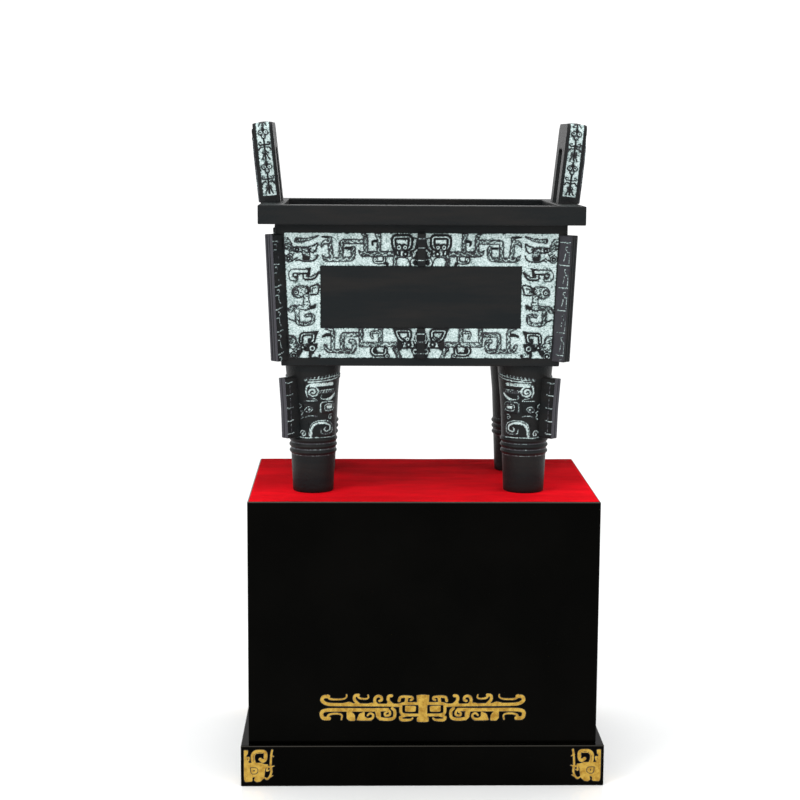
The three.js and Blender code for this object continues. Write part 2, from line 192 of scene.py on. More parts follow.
def spiral(centre, radius, turns, turn=0.0, hand=1):
    """Points from the outside of a spiral to its middle."""
    count = round(turns * SPIRAL_POINTS)
    points = []
    for i in range(count + 1):
        share = i / count
        angle = math.radians(turn) + hand * share * turns * 2 * math.pi
        reach = radius * (1 - SPIRAL_CLOSE * share)
        points.append((centre[0] + reach * math.cos(angle), centre[1] + reach * math.sin(angle)))
    return points


def ring(centre, radius, width):
    """A circle as a line."""
    angles = [2 * math.pi * i / RING_SIDES for i in range(RING_SIDES + 1)]
    return line([(centre[0] + radius * math.cos(a), centre[1] + radius * math.sin(a)) for a in angles], width)


def rounded(points, share, most=math.inf):
    """A line's points with each bend cut twice, so that it turns softly."""
    points = [np.array(p, float) for p in points]
    for longest in (most, most * SECOND_CUT):
        cut = [points[0]]
        for before, after in zip(points[:-1], points[1:]):
            step = after - before
            part = step * min(share, longest / np.hypot(*step))
            cut += [before + part, after - part]
        points = cut + [points[-1]]
    return np.array(points)


def line_field(points, half_start, half_end, u, v):
    """For points near a line: how deep in it, how far along it and how far across."""
    deep = np.full(u.shape, -FAR)
    along = np.zeros(u.shape)
    across = np.zeros(u.shape)
    steps = np.hypot(*(points[1:] - points[:-1]).T)
    total = max(steps.sum(), TINY)
    start = 0.0
    for a, b, length in zip(points[:-1], points[1:], steps):
        if length < TINY:
            continue
        du, dv = (b - a) / length
        ahead = np.clip((u - a[0]) * du + (v - a[1]) * dv, 0, length)
        away_u, away_v = u - a[0] - ahead * du, v - a[1] - ahead * dv
        away = np.hypot(away_u, away_v)
        half = half_start + (half_end - half_start) * (start + ahead) / total
        better = half - away > deep
        deep = np.where(better, half - away, deep)
        along = np.where(better, start + ahead, along)
        across = np.where(better, np.sign(du * away_v - dv * away_u) * away, across)
        start += length
    return deep, along, across


def mark_field(mark, u, v):
    """The same three measures for any mark, in the mark's own units."""
    points = mark["points"]
    if mark["kind"] == "boss":
        away = np.hypot(u - points[0][0], v - points[0][1])
        return mark["half"] - away, away, away
    if mark["kind"] == "line":
        return line_field(rounded(points, LINE_ROUND, mark["bend"]), mark["half"], mark["end_half"], u, v)
    points = rounded(points + points[:1], PATCH_ROUND)
    edge = -line_field(points, 0, 0, u, v)[0]
    inside = np.zeros(u.shape, bool)
    for a, b in zip(points[:-1], points[1:]):
        crosses = (a[1] > v) != (b[1] > v)
        rise = b[1] - a[1] if abs(b[1] - a[1]) > TINY else TINY
        inside ^= crosses & (u < a[0] + (v - a[1]) * (b[0] - a[0]) / rise)
    return np.where(inside, edge, -edge), u, v % PATCH_ROW - PATCH_ROW / 2


def near_mark(mark, u, v, margin):
    """Whether each point lies within a margin of the mark."""
    points = np.array(mark["points"], float)
    low = points.min(0) - mark["half"] - margin
    high = points.max(0) + mark["half"] + margin
    return (u > low[0]) & (u < high[0]) & (v > low[1]) & (v < high[1])


# What the top of a raised mark looks like: its own patina, and the grooves cut in it
LOOKS = {
    "worked": (0.48, "plait"),
    "hollow": (0.8, None),
    "curl": (0.0, "ring"),
    "lined": (0.0, "line"),
    "dark": (0.03, None),
    "edge": (0.0, None),
    "pale": (0.95, None),
    "eye": (0.0, "pupil"),
    "ribbed": (0.3, "bars"),
}
# Grooves: sizes in millimetres, edges as shares of a groove's half width, the rest as shares of
# the mark's half width
GROOVE_HALF = 0.55
GROOVE_SOFT = (0.5, 1.5)
PLAIT_SOFT = (0.3, 1.4)
GROOVE_DEPTH = 0.5
GROOVE_PALE = 0.95
LINE_HALF = 0.25
BAR_PITCH = 3.0
BAR_THINNING = 0.3
PLAIT_PITCH = 1.5
PALE_SWING = 0.42
DARK_SWING = 0.5
PUPIL_SHARE = 0.2
CURL_SHARE = 0.52
CURL_HALF_SHARE = 0.04
# How a raised figure meets its ground: where its side, its dark outline and the painted shade beside it begin
# and end
SIDE_START = -0.1
OUTLINE_OUT = 0.8
OUTLINE_FULL = 0.3
OUTLINE_INNER = 0.5
OUTLINE_IN = 0.95
PAINTED_SIDE_SHADE = 0.3
SIDE_REACH = 3.5
# Cut marks: their usual depth, how soft their edge is and how far they are looked for
MARK_DEPTH = 0.7
MARK_SOFT = 0.45
MARK_REACH = 2


def groove_share(kind, along, across, half):
    """Where the grooves of a mark's top run, in millimetres: 1 in a pale one, -1 in a dark one."""
    if kind == "plait":
        swing = half * (np.abs((along / (PLAIT_PITCH * half)) % 2 - 1) * 2 - 1)
        pale, dark = (
            1 - smooth(np.abs(across - offset * swing) / GROOVE_HALF, *PLAIT_SOFT)
            for offset in (PALE_SWING, -DARK_SWING)
        )
        return pale - dark * (1 - pale)
    if kind == "line":
        away = np.abs(across) - LINE_HALF
    elif kind == "bars":
        away = np.abs(along % BAR_PITCH - BAR_PITCH / 2) + BAR_THINNING
    elif kind == "pupil":
        away = across - PUPIL_SHARE * half
    elif kind == "ring":
        away = np.abs(across - CURL_SHARE * half) - CURL_HALF_SHARE * half
    else:
        return np.zeros(along.shape)
    return 1 - smooth(away / GROOVE_HALF, *GROOVE_SOFT)


class Relief:
    """Heights above a surface and patina, over a grid of points. The patina values also carry painted shade
    and painted highlight.
    """

    def __init__(self, shape, height=0.0, patina_and_painted_light=0.0):
        self.height = np.full(shape, float(height))
        self.patina_and_painted_light = np.full(shape, float(patina_and_painted_light))

    def raise_marks(self, marks, u, v, unit=1, rise=FIGURE_RISE):
        """Raises a figure made of marks, with dark edges, painted shade on the ground round it and its own
        look on top.
        """
        deepest = np.full(u.shape, -FAR)
        top, cut, dome = np.zeros((3, *u.shape))
        for mark in marks:
            near = near_mark(mark, u, v, SIDE_REACH / unit)
            if not near.any():
                continue
            deep, along, across = (part * unit for part in mark_field(mark, u[near], v[near]))
            own, kind = LOOKS[mark["look"]]
            half = unit * mark["half"]
            groove = groove_share(kind, along, across, half)
            better = deep > deepest[near]
            tone = own + np.where(groove > 0, GROOVE_PALE - own, own) * groove
            top[near] = np.where(better, tone, top[near])
            cut[near] = np.where(better, np.abs(groove), cut[near])
            if kind == "pupil":
                bulge = np.sqrt(np.clip(1 - (across / half) ** 2, 0, 1))
                dome[near] = np.where(better, bulge, dome[near])
            deepest[near] = np.maximum(deepest[near], deep)
        step = smooth(deepest, SIDE_START, EDGE_RUN)
        inner = smooth(deepest, OUTLINE_INNER, OUTLINE_IN)
        dark_edge_and_painted_shade = smooth(deepest, -OUTLINE_OUT, -OUTLINE_FULL)
        # Painted shade: the ground near a figure keeps less patina, so it shows a deeper teal
        dark_edge_and_painted_shade = dark_edge_and_painted_shade + (1 - dark_edge_and_painted_shade) * PAINTED_SIDE_SHADE * smooth(deepest, -SIDE_REACH, 0)
        self.height += step * (PANEL_RISE + rise - self.height)
        self.height += inner * dome * EYE_DOME - inner * cut * GROOVE_DEPTH
        self.patina_and_painted_light = self.patina_and_painted_light * (1 - dark_edge_and_painted_shade) + inner * top

    def engrave(self, marks, u, v, unit=1, depth=MARK_DEPTH, patina_and_painted_light=1.0):
        """Cuts marks into the surface and fills them with patina."""
        for mark in marks:
            near = near_mark(mark, u, v, MARK_REACH / unit)
            if near.any():
                deep = mark_field(mark, u[near], v[near])[0] * unit
                share = smooth(deep, -MARK_SOFT, MARK_SOFT)
                self.height[near] -= share * depth
                self.patina_and_painted_light[near] += share * (patina_and_painted_light - self.patina_and_painted_light[near])


IN_METRES = Matrix.Diagonal((MM, MM, MM, 1))


def make_mesh(name, points, faces, patina_and_painted_light, place, slot):
    """A piece that rides the root, from points in millimetres and lists of corner numbers."""
    flat = points.reshape(-1, 3) @ np.array(place.to_3x3()).T + np.array(place.translation)
    mesh = bpy.data.meshes.new(name)
    mesh.vertices.add(len(flat))
    mesh.vertices.foreach_set("co", flat.astype(np.float32).ravel())
    loops = np.concatenate([np.asarray(face, np.int32).ravel() for face in faces])
    sizes = np.concatenate([
        np.full(len(face), face.shape[1]) if isinstance(face, np.ndarray) else np.array([len(face)])
        for face in faces
    ])
    mesh.loops.add(len(loops))
    mesh.loops.foreach_set("vertex_index", loops)
    mesh.polygons.add(len(sizes))
    mesh.polygons.foreach_set("loop_start", np.concatenate([[0], np.cumsum(sizes)[:-1]]).astype(np.int32))
    mesh.update(calc_edges=True)
    mesh.shade_smooth()
    if patina_and_painted_light is not None:
        # The attribute holds patina with painted shade and highlight on bronze, and gold paint with a painted
        # highlight on lacquer
        layer = mesh.attributes.new("patina_and_painted_light", "FLOAT", "POINT")
        layer.data.foreach_set("value", np.asarray(patina_and_painted_light, np.float32).ravel())
    mesh.materials.append(materials[slot])
    piece = bpy.data.objects.new(name, mesh)
    bpy.context.scene.collection.objects.link(piece)
    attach(piece, "root")
    return piece


def grid_numbers(points):
    return np.arange(points.shape[0] * points.shape[1]).reshape(points.shape[:2])


def quads_of(number):
    """Quads between the rows and columns of a grid of corner numbers."""
    return np.stack([number[:-1, :-1], number[:-1, 1:], number[1:, 1:], number[1:, :-1]], -1)


def open_grid(name, points, sunk, keep, patina_and_painted_light, place):
    """A grid of quads with its open edges carried down to sunk points."""
    number = grid_numbers(points)
    quads = quads_of(number)[keep]
    starts = quads.ravel()
    ends = np.roll(quads, -1, axis=1).ravel()
    there = set(zip(starts.tolist(), ends.tolist()))
    border = np.array([(a, b) for a, b in there if (b, a) not in there])
    border = border[np.lexsort((border[:, 1], border[:, 0]))]
    rim = np.unique(border)
    lowered = np.zeros(number.size, int)
    lowered[rim] = number.size + np.arange(len(rim))
    a, b = border.T
    skirt = np.stack([b, a, lowered[a], lowered[b]], -1)
    every = np.concatenate([points.reshape(-1, 3), sunk.reshape(-1, 3)[rim]])
    tones = np.concatenate([patina_and_painted_light.ravel(), patina_and_painted_light.ravel()[rim]])
    used = np.unique(np.concatenate([quads.ravel(), skirt.ravel()]))
    renumber = np.zeros(len(every), int)
    renumber[used] = np.arange(len(used))
    return make_mesh(name, every[used], [renumber[quads], renumber[skirt]], tones[used], place, "bronze")


def closed_grid(name, points, patina_and_painted_light, place, slot="bronze", capped=True):
    """A tube of quads, closed round its columns. It has flat ends, or its ends meet."""
    number = grid_numbers(points)
    caps = [number[0, ::-1].tolist(), number[-1].tolist()] if capped else []
    number = np.column_stack([number, number[:, 0]])
    if not capped:
        number = np.vstack([number, number[0]])
    return make_mesh(name, points, [quads_of(number).reshape(-1, 4)] + caps, patina_and_painted_light, place, slot)


def ding_place(turn=0.0, x=0.0, y=0.0, z=0.0, inner=Matrix.Identity(4)):
    """From millimetres in a local frame to the part's frame, for something on the vessel."""
    place = Matrix.Translation((VESSEL_SHIFT * MM, 0, feet_z)) @ IN_METRES
    return place @ Matrix.Translation((x, y, z)) @ Matrix.Rotation(turn, 4, "Z") @ inner


# Materials
class Shader:
    """A material, with short ways to add a node to it and get its output."""

    def __init__(self, name):
        self.material = bpy.data.materials.new(name)
        self.material.use_nodes = True
        self.tree = self.material.node_tree
        self.surface = self.tree.nodes["Principled BSDF"]

    def give(self, socket, value):
        """Gives a socket a fixed value or another node's output."""
        if isinstance(value, bpy.types.NodeSocket):
            self.tree.links.new(value, socket)
        else:
            socket.default_value = value

    def set(self, name, value):
        self.give(self.surface.inputs[name], value)

    def node(self, kind, output, inputs, **settings):
        node = self.tree.nodes.new("ShaderNode" + kind)
        for name, value in settings.items():
            setattr(node, name, value)
        for name, value in inputs.items():
            self.give(node.inputs[name], value)
        return node.outputs[output]

    def where(self):
        """The object's own coordinates, in metres."""
        return self.node("TexCoord", "Object", {})

    def patina_and_painted_light(self):
        return self.node("Attribute", "Fac", {}, attribute_name="patina_and_painted_light")

    def noise(self, scale, detail, roughness=0.55, stretch=(1, 1, 1)):
        where = self.node("Mapping", "Vector", {"Vector": self.where(), "Scale": stretch})
        inputs = {"Vector": where, "Scale": scale, "Detail": detail, "Roughness": roughness}
        return self.node("TexNoise", "Fac", inputs)

    def ramp(self, value, low, high, start=0.0, end=1.0):
        """Maps value from low..high to start..end, held at the ends."""
        inputs = {"Value": value, "From Min": low, "From Max": high, "To Min": start, "To Max": end}
        return self.node("MapRange", "Result", inputs)

    def layer(self, numbers):
        """Noise and the range it is mapped to."""
        noise, spread = numbers
        return self.ramp(self.noise(*noise), *spread)

    def blend(self, share, first, second):
        """A mix of two colours, each a value or an output, by a share."""
        first, second = ((*c, 1) if isinstance(c, tuple) else c for c in (first, second))
        return self.node("Mix", "Result", {"Factor": share, "A": first, "B": second}, data_type="RGBA")

    def maths(self, operation, first, second):
        return self.node("Math", "Value", {0: first, 1: second}, operation=operation)

    def bump(self, noise, distance):
        inputs = {"Height": self.noise(*noise), "Distance": distance, "Strength": 1.0}
        self.set("Normal", self.node("Bump", "Normal", inputs))


# A layer is a noise (scale, detail, roughness, stretch), and the range of it that is used with
# what that becomes. The short ranges after them are of the patina.
DARK_BRONZE = (0.0095, 0.0115, 0.0125)
BROWN_BRONZE = (0.0158, 0.0152, 0.0148)
# Painted highlight: lighter metal where the patina value is low but above zero
PAINTED_HIGHLIGHT_BRONZE = (0.085, 0.083, 0.098)
MINT = (0.66, 0.765, 0.76)
DEEP_MINT = (0.25, 0.345, 0.335)
WEAR = ((380, 4, 0.7), (0.32, 0.64, -0.6, 0.3))
BLOTCHES = ((42, 5, 0.7), (0.35, 0.65, -0.3, 0.16))
SPECKLE = ((420, 4, 0.7, (1, 1, 1.8)), (0.36, 0.58, 0.1, 1.0))
BROWN_CLOUDS = ((30, 6, 0.65, (0.16, 0.16, 1.2)), (0.38, 0.64))
WEARS = (0.02, 0.3)
SHOWS = (0.26, 0.56)
PALE_MINT_RANGE = (0.45, 0.9)
PAINTED_HIGHLIGHT_RISE = (0.04, 0.2)
PAINTED_HIGHLIGHT_FALL = (0.21, 0.3, 1.0, 0.0)
BRONZE_TO_PATINA_METAL = (0, 1, 0.25, 0.0)
BRONZE_TO_PATINA_ROUGHNESS = (0, 1, 0.42, 0.85)
BRONZE_SPECULAR = 0.1
CAST_GRAIN = (260, 6, 0.62)
CAST_GRAIN_DEPTH = 0.0009


def bronze_material():
    """Near-black bronze whose low places hold a pale green-blue patina, with a painted highlight of lighter
    metal where the patina value lies a little above zero.
    """
    s = Shader("bronze")
    given = s.patina_and_painted_light()
    uneven = s.maths("ADD", s.layer(WEAR), s.layer(BLOTCHES))
    patina_and_painted_light = s.maths("ADD", given, s.maths("MULTIPLY", uneven, s.ramp(given, *WEARS)))
    share = s.ramp(patina_and_painted_light, *SHOWS)
    # Deeper teal where the patina is lower, which includes the painted shade beside raised figures
    pale_mint_share = s.maths("MULTIPLY", s.layer(SPECKLE), s.ramp(patina_and_painted_light, *PALE_MINT_RANGE))
    # Painted highlight of lighter metal where the patina value lies a little above zero
    painted_highlight = s.maths("MULTIPLY", s.ramp(given, *PAINTED_HIGHLIGHT_RISE), s.ramp(given, *PAINTED_HIGHLIGHT_FALL))
    dark = s.blend(painted_highlight, s.blend(s.layer(BROWN_CLOUDS), DARK_BRONZE, BROWN_BRONZE), PAINTED_HIGHLIGHT_BRONZE)
    s.set("Base Color", s.blend(share, dark, s.blend(pale_mint_share, DEEP_MINT, MINT)))
    s.set("Metallic", s.ramp(share, *BRONZE_TO_PATINA_METAL))
    s.set("Roughness", s.ramp(share, *BRONZE_TO_PATINA_ROUGHNESS))
    s.set("Specular IOR Level", BRONZE_SPECULAR)
    s.bump(CAST_GRAIN, CAST_GRAIN_DEPTH)
    return s.material


BLACK_LACQUER = (0.0006, 0.0006, 0.0004)
HAZY_LACQUER = (0.0014, 0.0013, 0.001)
# Painted highlight along the lacquer's top edges
HIGHLIGHT_LACQUER = (0.05, 0.047, 0.04)
GOLD = (0.54, 0.345, 0.065)
BROWN_GOLD = (0.34, 0.185, 0.028)
GOLD_FRAY = ((700, 2), (0.3, 0.7, -0.12, 0.12))
GOLD_WEAR = ((110, 5, 0.65), (0.36, 0.58))
HAZE = ((5, 4), (0.4, 0.7))
SCUFFS = ((30, 6, 0.7), (0.35, 0.75, 0.1, 0.2))
GOLD_SHOWS = (0.42, 0.58)
LACQUER_HIGHLIGHT_RANGE = (0.05, 0.2)
GOLD_ROUGHNESS = 0.42
LACQUER_TO_GOLD_METAL = (0, 1, 0.0, 0.35)
LACQUER_SPECULAR = 0.02
BOARD_WAVES = (6, 3)
BOARD_WAVE_DEPTH = 0.0003


def lacquer_material():
    """Black lacquer, painted gold wherever the attribute says so, with a painted highlight where it is low.
    """
    s = Shader("lacquer")
    given = s.patina_and_painted_light()
    share = s.ramp(s.maths("ADD", given, s.layer(GOLD_FRAY)), *GOLD_SHOWS)
    gold = s.blend(s.layer(GOLD_WEAR), BROWN_GOLD, GOLD)
    black = s.blend(s.layer(HAZE), BLACK_LACQUER, HAZY_LACQUER)
    black = s.blend(s.ramp(given, *LACQUER_HIGHLIGHT_RANGE), black, HIGHLIGHT_LACQUER)
    s.set("Base Color", s.blend(share, black, gold))
    s.set("Roughness", s.node("Mix", "Result", {"Factor": share, "A": s.layer(SCUFFS), "B": GOLD_ROUGHNESS}))
    s.set("Metallic", s.ramp(share, *LACQUER_TO_GOLD_METAL))
    s.set("Specular IOR Level", LACQUER_SPECULAR)
    s.bump(BOARD_WAVES, BOARD_WAVE_DEPTH)
    return s.material


BRIGHT_RED = (0.86, 0.004, 0.012)
DEEP_RED = (0.22, 0.001, 0.003)
BRUSHED = ((8, 6, 0.66, (0.6, 1.7, 1)), (0.4, 0.62))
BRUSHED_SHARE = 0.35
FIBRES = ((1500, 2), (0.25, 0.75, 0.0, 0.25))
# Painted shadow: the cloth darkens from front to back between these y values, in metres
BACK_SHADOW_Y = (-0.08, 0.19)
BACK_SHADOW_SHARE = 0.6
VELVET_SURFACE = {
    "Roughness": 1.0, "Specular IOR Level": 0.01, "Sheen Weight": 0.03, "Sheen Tint": (1.0, 0.12, 0.12, 1),
}
PILE = (1400, 2)
PILE_DEPTH = 0.0006


def velvet_material():
    """Bright red pile, brushed darker in patches, with painted shadow darkening it towards the back."""
    s = Shader("velvet")
    # Painted shadow towards the back
    back_shadow = s.ramp(s.node("SeparateXYZ", "Y", {"Vector": s.where()}), *BACK_SHADOW_Y)
    share = s.maths("ADD", s.maths("MULTIPLY", s.layer(BRUSHED), BRUSHED_SHARE), s.layer(FIBRES))
    share = s.ramp(s.maths("ADD", share, s.maths("MULTIPLY", back_shadow, BACK_SHADOW_SHARE)), 0, 1)
    s.set("Base Color", s.blend(share, BRIGHT_RED, DEEP_RED))
    for name, value in VELVET_SURFACE.items():
        s.set(name, value)
    s.bump(PILE, PILE_DEPTH)
    return s.material


FLOOR_DARK = (0.86, 0.87, 0.87)
FLOOR_LIGHT = (0.89, 0.9, 0.9)
FLOOR_TONES = ((3, 2), (0.3, 0.7))
FLOOR_ROUGHNESS = 0.13
FLOOR_SPECULAR = 0.45


def floor_material():
    s = Shader("floor")
    s.set("Base Color", s.blend(s.layer(FLOOR_TONES), FLOOR_DARK, FLOOR_LIGHT))
    s.set("Roughness", FLOOR_ROUGHNESS)
    s.set("Specular IOR Level", FLOOR_SPECULAR)
    return s.material


materials = {"bronze": bronze_material(), "lacquer": lacquer_material(), "velvet": velvet_material()}


# Figures. Their grid runs away from the middle of a side, or in from its corner, and
# downwards, in cells of the ornament.
UPPER_MASK = [
    bar([(5, 3.9), (4.6, 4.5), (3.7, 4.4), (3.2, 3.4), (3.2, 1.15), (8, 1.15), (8, 3.6), (7.5, 4.4),
         (6.6, 4.4), (6.3, 3.9)], 1.5, "lined"),
    patch([(6.4, 4.7), (8.4, 4.4), (8, 5.7), (7.9, 6.8), (6.2, 6.7), (6.3, 5.4)]),
    patch([(0.8, 1.8), (1.4, 2), (1.7, 3.6), (2.1, 4.8), (3.2, 5.1), (3.4, 5.6), (2.7, 6.8), (2.5, 7.3),
           (1.4, 7.6), (0.8, 8.2)]),
    bar([(7.6, 6.7), (7.75, 8.2), (7.5, 9.7)], 1),
]
UPPER_MASK_EYE = [
    patch([(3, 6.75), (3.6, 5.8), (4.3, 5.2), (5.9, 5.1), (6.2, 5.9), (6, 6.65), (3.9, 6.85)], "pale"),
]
UPPER_MASK_FINE = [
    boss((6.5, 4.15), 0.85, "curl"),
    boss((4.75, 4.15), 0.75, "curl"),
    boss((4.65, 6.05), 0.8),
    boss((1.75, 8.6), 0.65, "dark"),
    ring((1.75, 8.6), 1.5, 0.12),
    line([(3.2, 9.6), (3.5, 8), (4.3, 7.1), (6.5, 7), (7, 7.6)], 0.14),
    line([(1, 1.75), (2.2, 1.45)], 0.17),
]
UPPER_MASK_CUT = [
    line([(1.3, 4.9), (2.1, 5.5), (1.8, 6.1), (2.3, 6.7)], 0.34),
    line([(2.5, 5.6), (2.2, 6.2), (2.5, 6.5)], 0.24),
    line([(6.9, 5.4), (6.8, 6.2)], 0.22),
]
INNER_DRAGON = [
    bar([(8.2, 6.1), (16.8, 6.1)], 1.45),
    patch([(16.4, 5.4), (17.2, 5.6), (18.2, 4.8), (17.9, 6.2), (17.2, 6.85), (16.2, 6.85)], "worked"),
    bar([(12.3, 0.6), (12.3, 6)], 1.15),
    patch([(11.9, 0.2), (13.5, 0.1), (13.1, 1), (12.9, 1.6), (11.9, 1.6)], "worked"),
    line([(12.4, 2.45), (13.9, 2.35), (14.25, 2.8), (14.1, 3.5)], 0.7, "dark", 0.45),
    bar([(16.1, 1.6), (16.1, 6)], 1.15),
    patch([(16.3, 0.2), (17.5, 0.1), (16.8, 0.9), (16.6, 1.8), (15.6, 1.8), (15.6, 0.8)], "worked"),
]
INNER_BOAT = [
    bar([(10.7, 7.1), (10.65, 8.1), (11.2, 8.6), (13.1, 8.6), (13.7, 8.1), (13.6, 7.3)], 0.85, "lined"),
    bar([(10.4, 8.8), (9.9, 8.8), (9.9, 9.9)], 0.6, "dark"),
    boss((13.3, 7.6), 0.6, "curl"),
]
OUTER_DRAGON = [
    bar([(16.4, 2.55), (23.2, 2.55), (23.2, 7.4)], 1.25),
    bar([(21.9, 4.4), (20.2, 4.4)], 0.55, "dark"),
    bar([(19.75, 4.4), (19.75, 7), (20.4, 7.65), (27.2, 7.75)], 1.25),
    patch([(26.8, 7.2), (27.9, 6.9), (28.8, 6.3), (28.4, 7.6), (27.5, 8.4), (26.6, 8.4)], "worked"),
    bar([(26.5, 1.6), (26.4, 4), (25.9, 7.4)], 1.15),
    line([(26.3, 1.7), (27, 1.25), (28.6, 1.2)], 0.6, "dark", 0.4),
    patch([(26.4, 2.2), (28, 2), (28.8, 2.9), (29.1, 4.3), (28.2, 3.4), (27.2, 3.1), (26.6, 3.4)],
        "worked"),
]
UPPER_CORNER = [
    bar([(4.7, 2.2), (6.5, 2.2), (8.2, 1.95), (10.7, 1)], 1.3, "ribbed", 0.3),
    patch([(0.9, 1.6), (2.1, 1.5), (2.8, 2.3), (3.1, 3.4), (3.6, 4.5), (3.4, 5.2), (2.6, 5.4), (1.9, 4.9),
           (0.9, 4.6)], "worked"),
    patch([(5.9, 4.3), (7.6, 4.2), (8.1, 5.4), (8.4, 7), (7.4, 6.9), (6.2, 6.3)], "worked"),
    patch([(6.1, 6.2), (7, 6.3), (7.4, 7), (8.3, 7), (8, 7.9), (6.2, 7.9)]),
]
UPPER_CORNER_FINE = [
    line([(8, 5.1), (7.7, 4.4), (8.4, 3.9), (9.7, 3.7), (10.7, 2.8), (10.4, 4.2), (9.9, 5.3), (9.2, 5.8),
          (8.5, 5.5), (8.1, 4.8), (8.7, 4.5)], 0.21),
    line([(3.5, 4.4), (4.6, 4.1), (7.4, 4.2)], 0.15),
    line([(3.4, 5.1), (4.2, 5.75), (5.8, 5.6)], 0.13),
    boss((4.6, 4.95), 0.62),
    line([(4.2, 8.1), (5.2, 7.8), (6.1, 8.3), (8.2, 8.3), (9.5, 8), (10.2, 7.3), (10.4, 6.5)], 0.21),
    line([(3, 8.3), (3.7, 7.7), (4.6, 7.3)], 0.17),
    line([(3.7, 6), (3.1, 6.8), (3, 8.1)], 0.13),
    line([(1.9, 6.2), (2.8, 6.8)], 0.15),
    line([(2.5, 5.9), (3.2, 6.3)], 0.15),
    boss((2.1, 7.5), 0.6),
    ring((2.1, 7.5), 1.05, 0.11),
]
COLUMN = [
    bar([(7.3, 1.15), (3, 1.15), (2.5, 1.7), (2.5, 3), (3.1, 3.45), (4, 3.3)], 1.2, "hollow"),
    patch([(7, 0.3), (8.4, 0.2), (8.1, 1.3), (7.9, 2.5), (7, 2.4)]),
    patch([(6.9, 5.4), (5.2, 5.4), (3.5, 5.7), (2.7, 6.6), (2.5, 7.6), (3.1, 8.6), (4.2, 9), (5.3, 8.9),
           (5.9, 8.2), (7.3, 8), (7.5, 6.3)], "worked"),
    patch([(5.1, 5.6), (7.4, 5.5), (7.6, 8.2), (5.2, 8.1)]),
    patch([(5.8, 7.6), (7.6, 7.6), (7.4, 9.2), (7.8, 10.8), (7.6, 12.4), (5.9, 12.6), (5.7, 11),
           (5.9, 9.5)], "worked"),
    patch([(7.4, 11.1), (8.4, 11.3), (9.5, 10.7), (9.2, 11.9), (7.7, 12.3)]),
    bar([(1.9, 12.5), (2.5, 11.8), (5.9, 11.7)], 1.35),
    bar([(3.8, 12), (3.8, 15.9), (4.4, 16.6), (7, 16.6), (8.3, 15.9), (8.6, 14.2), (7.6, 13.8),
         (6.3, 14.2)], 1.4, "worked", 0.8),
]
COLUMN_FINE = [
    ring((3.85, 2.35), 0.65, 0.19),
    line([(4.1, 2.9), (4.7, 2), (7.2, 1.9)], 0.15),
    line([(6.1, 2.2), (6, 3.55), (8.7, 3.6), (9.7, 3), (10.6, 1.4)], 0.25, end=0.35),
    line([(6.9, 2.6), (8, 2.9), (9.1, 2.4), (10.1, 1.8)], 0.14),
    boss((3.8, 7.3), 0.75, "curl"),
    line([(7.9, 7.2), (7.9, 5.8), (8.7, 5.3), (10.8, 5), (10.3, 6.5), (10.1, 7.8), (9.3, 8.05), (8, 8)],
        0.23),
    line([(8.4, 7.3), (8.4, 6.2), (9.4, 6)], 0.13),
    line([(1.5, 15.2), (2.3, 15.5), (3.2, 15.9)], 0.21),
]
COLUMN_CUT = [
    line(spiral((6.5, 6.85), 0.8, 1.3, 100), 0.2),
    line([(5.9, 6), (5.9, 7.9)], 0.16),
    line([(6.4, 8.6), (7.1, 9), (7, 9.7), (6.3, 9.6)], 0.3),
    line([(6.2, 10.1), (6.3, 10.7), (7, 10.6)], 0.28),
    ring((6.4, 11.5), 0.35, 0.24),
    line([(4.5, 6.1), (5, 6.7), (4.8, 7.7), (4.4, 8.4)], 0.26),
    line([(3.2, 12.4), (4.3, 12.9)], 0.28),
]
LOWER_MASK = [
    bar([(3.9, 3.6), (3.3, 3.2), (3.2, 0.95), (7.2, 0.95), (6.9, 1.9), (6.2, 3.4), (5.2, 3.9)],
        1.3, "lined"),
    patch([(7, 0.1), (8.3, 0.1), (7.3, 2.2), (6.7, 3.9), (6.9, 5.4), (7.3, 6.3), (6.6, 7), (5.6, 6.5),
           (5.2, 5.4), (5.4, 4.6), (6.3, 4.1), (6.6, 2.6)]),
    patch([(0.8, 1.1), (1.4, 1.6), (1.8, 2.9), (2, 3.8), (1.8, 5), (1.6, 6.1), (2.7, 6.3), (2.7, 7),
           (2.2, 7.6), (1.9, 9.3), (0.8, 9.4)]),
    bar([(7, 6.4), (6.9, 7.4), (6.1, 9.3)], 1.2),
]
LOWER_MASK_EYE = [
    patch([(2.2, 4.2), (4.8, 4.2), (5.1, 5.1), (5.3, 5.9), (1.9, 5.95), (1.9, 5)], "pale"),
]
LOWER_MASK_FINE = [
    boss((3.9, 3.4), 0.7, "curl"),
    boss((3.5, 5), 0.8),
    line([(2.2, 6.05), (5.6, 6.1)], 0.11),
    line([(7.4, 6), (8.2, 6.1), (7.9, 6.9), (7.1, 7.7)], 0.17),
]
LOWER_MASK_CUT = [
    ring((1.55, 7.1), 0.62, 0.3),
    line([(1.4, 2.2), (1.5, 3.4), (1.2, 4.2)], 0.22),
    line([(1.9, 3.7), (1.5, 4.6)], 0.22),
]
LOWER_INNER_DRAGON = [
    bar([(7, 5), (17.3, 5.05)], 1.45),
    bar([(11.75, -0.3), (11.75, 5)], 1.25),
    bar([(12.2, 1.4), (14.3, 1.4), (14.45, 2.2), (14, 3.2)], 0.85, "worked", 0.6),
    bar([(17.4, 0.2), (17.4, 5)], 1.2),
]
LOWER_BOAT = [
    bar([(10.2, 6.4), (10.2, 7.4), (10.8, 8), (13.4, 8), (14.15, 7.4), (14.2, 6.4), (13.6, 5.8)],
        1.15, "lined"),
    patch([(13, 5.8), (13.7, 5.8), (13.8, 6.6), (13.4, 7.3), (12.7, 7.2)]),
    boss((9.8, 8.4), 0.75, "curl"),
]
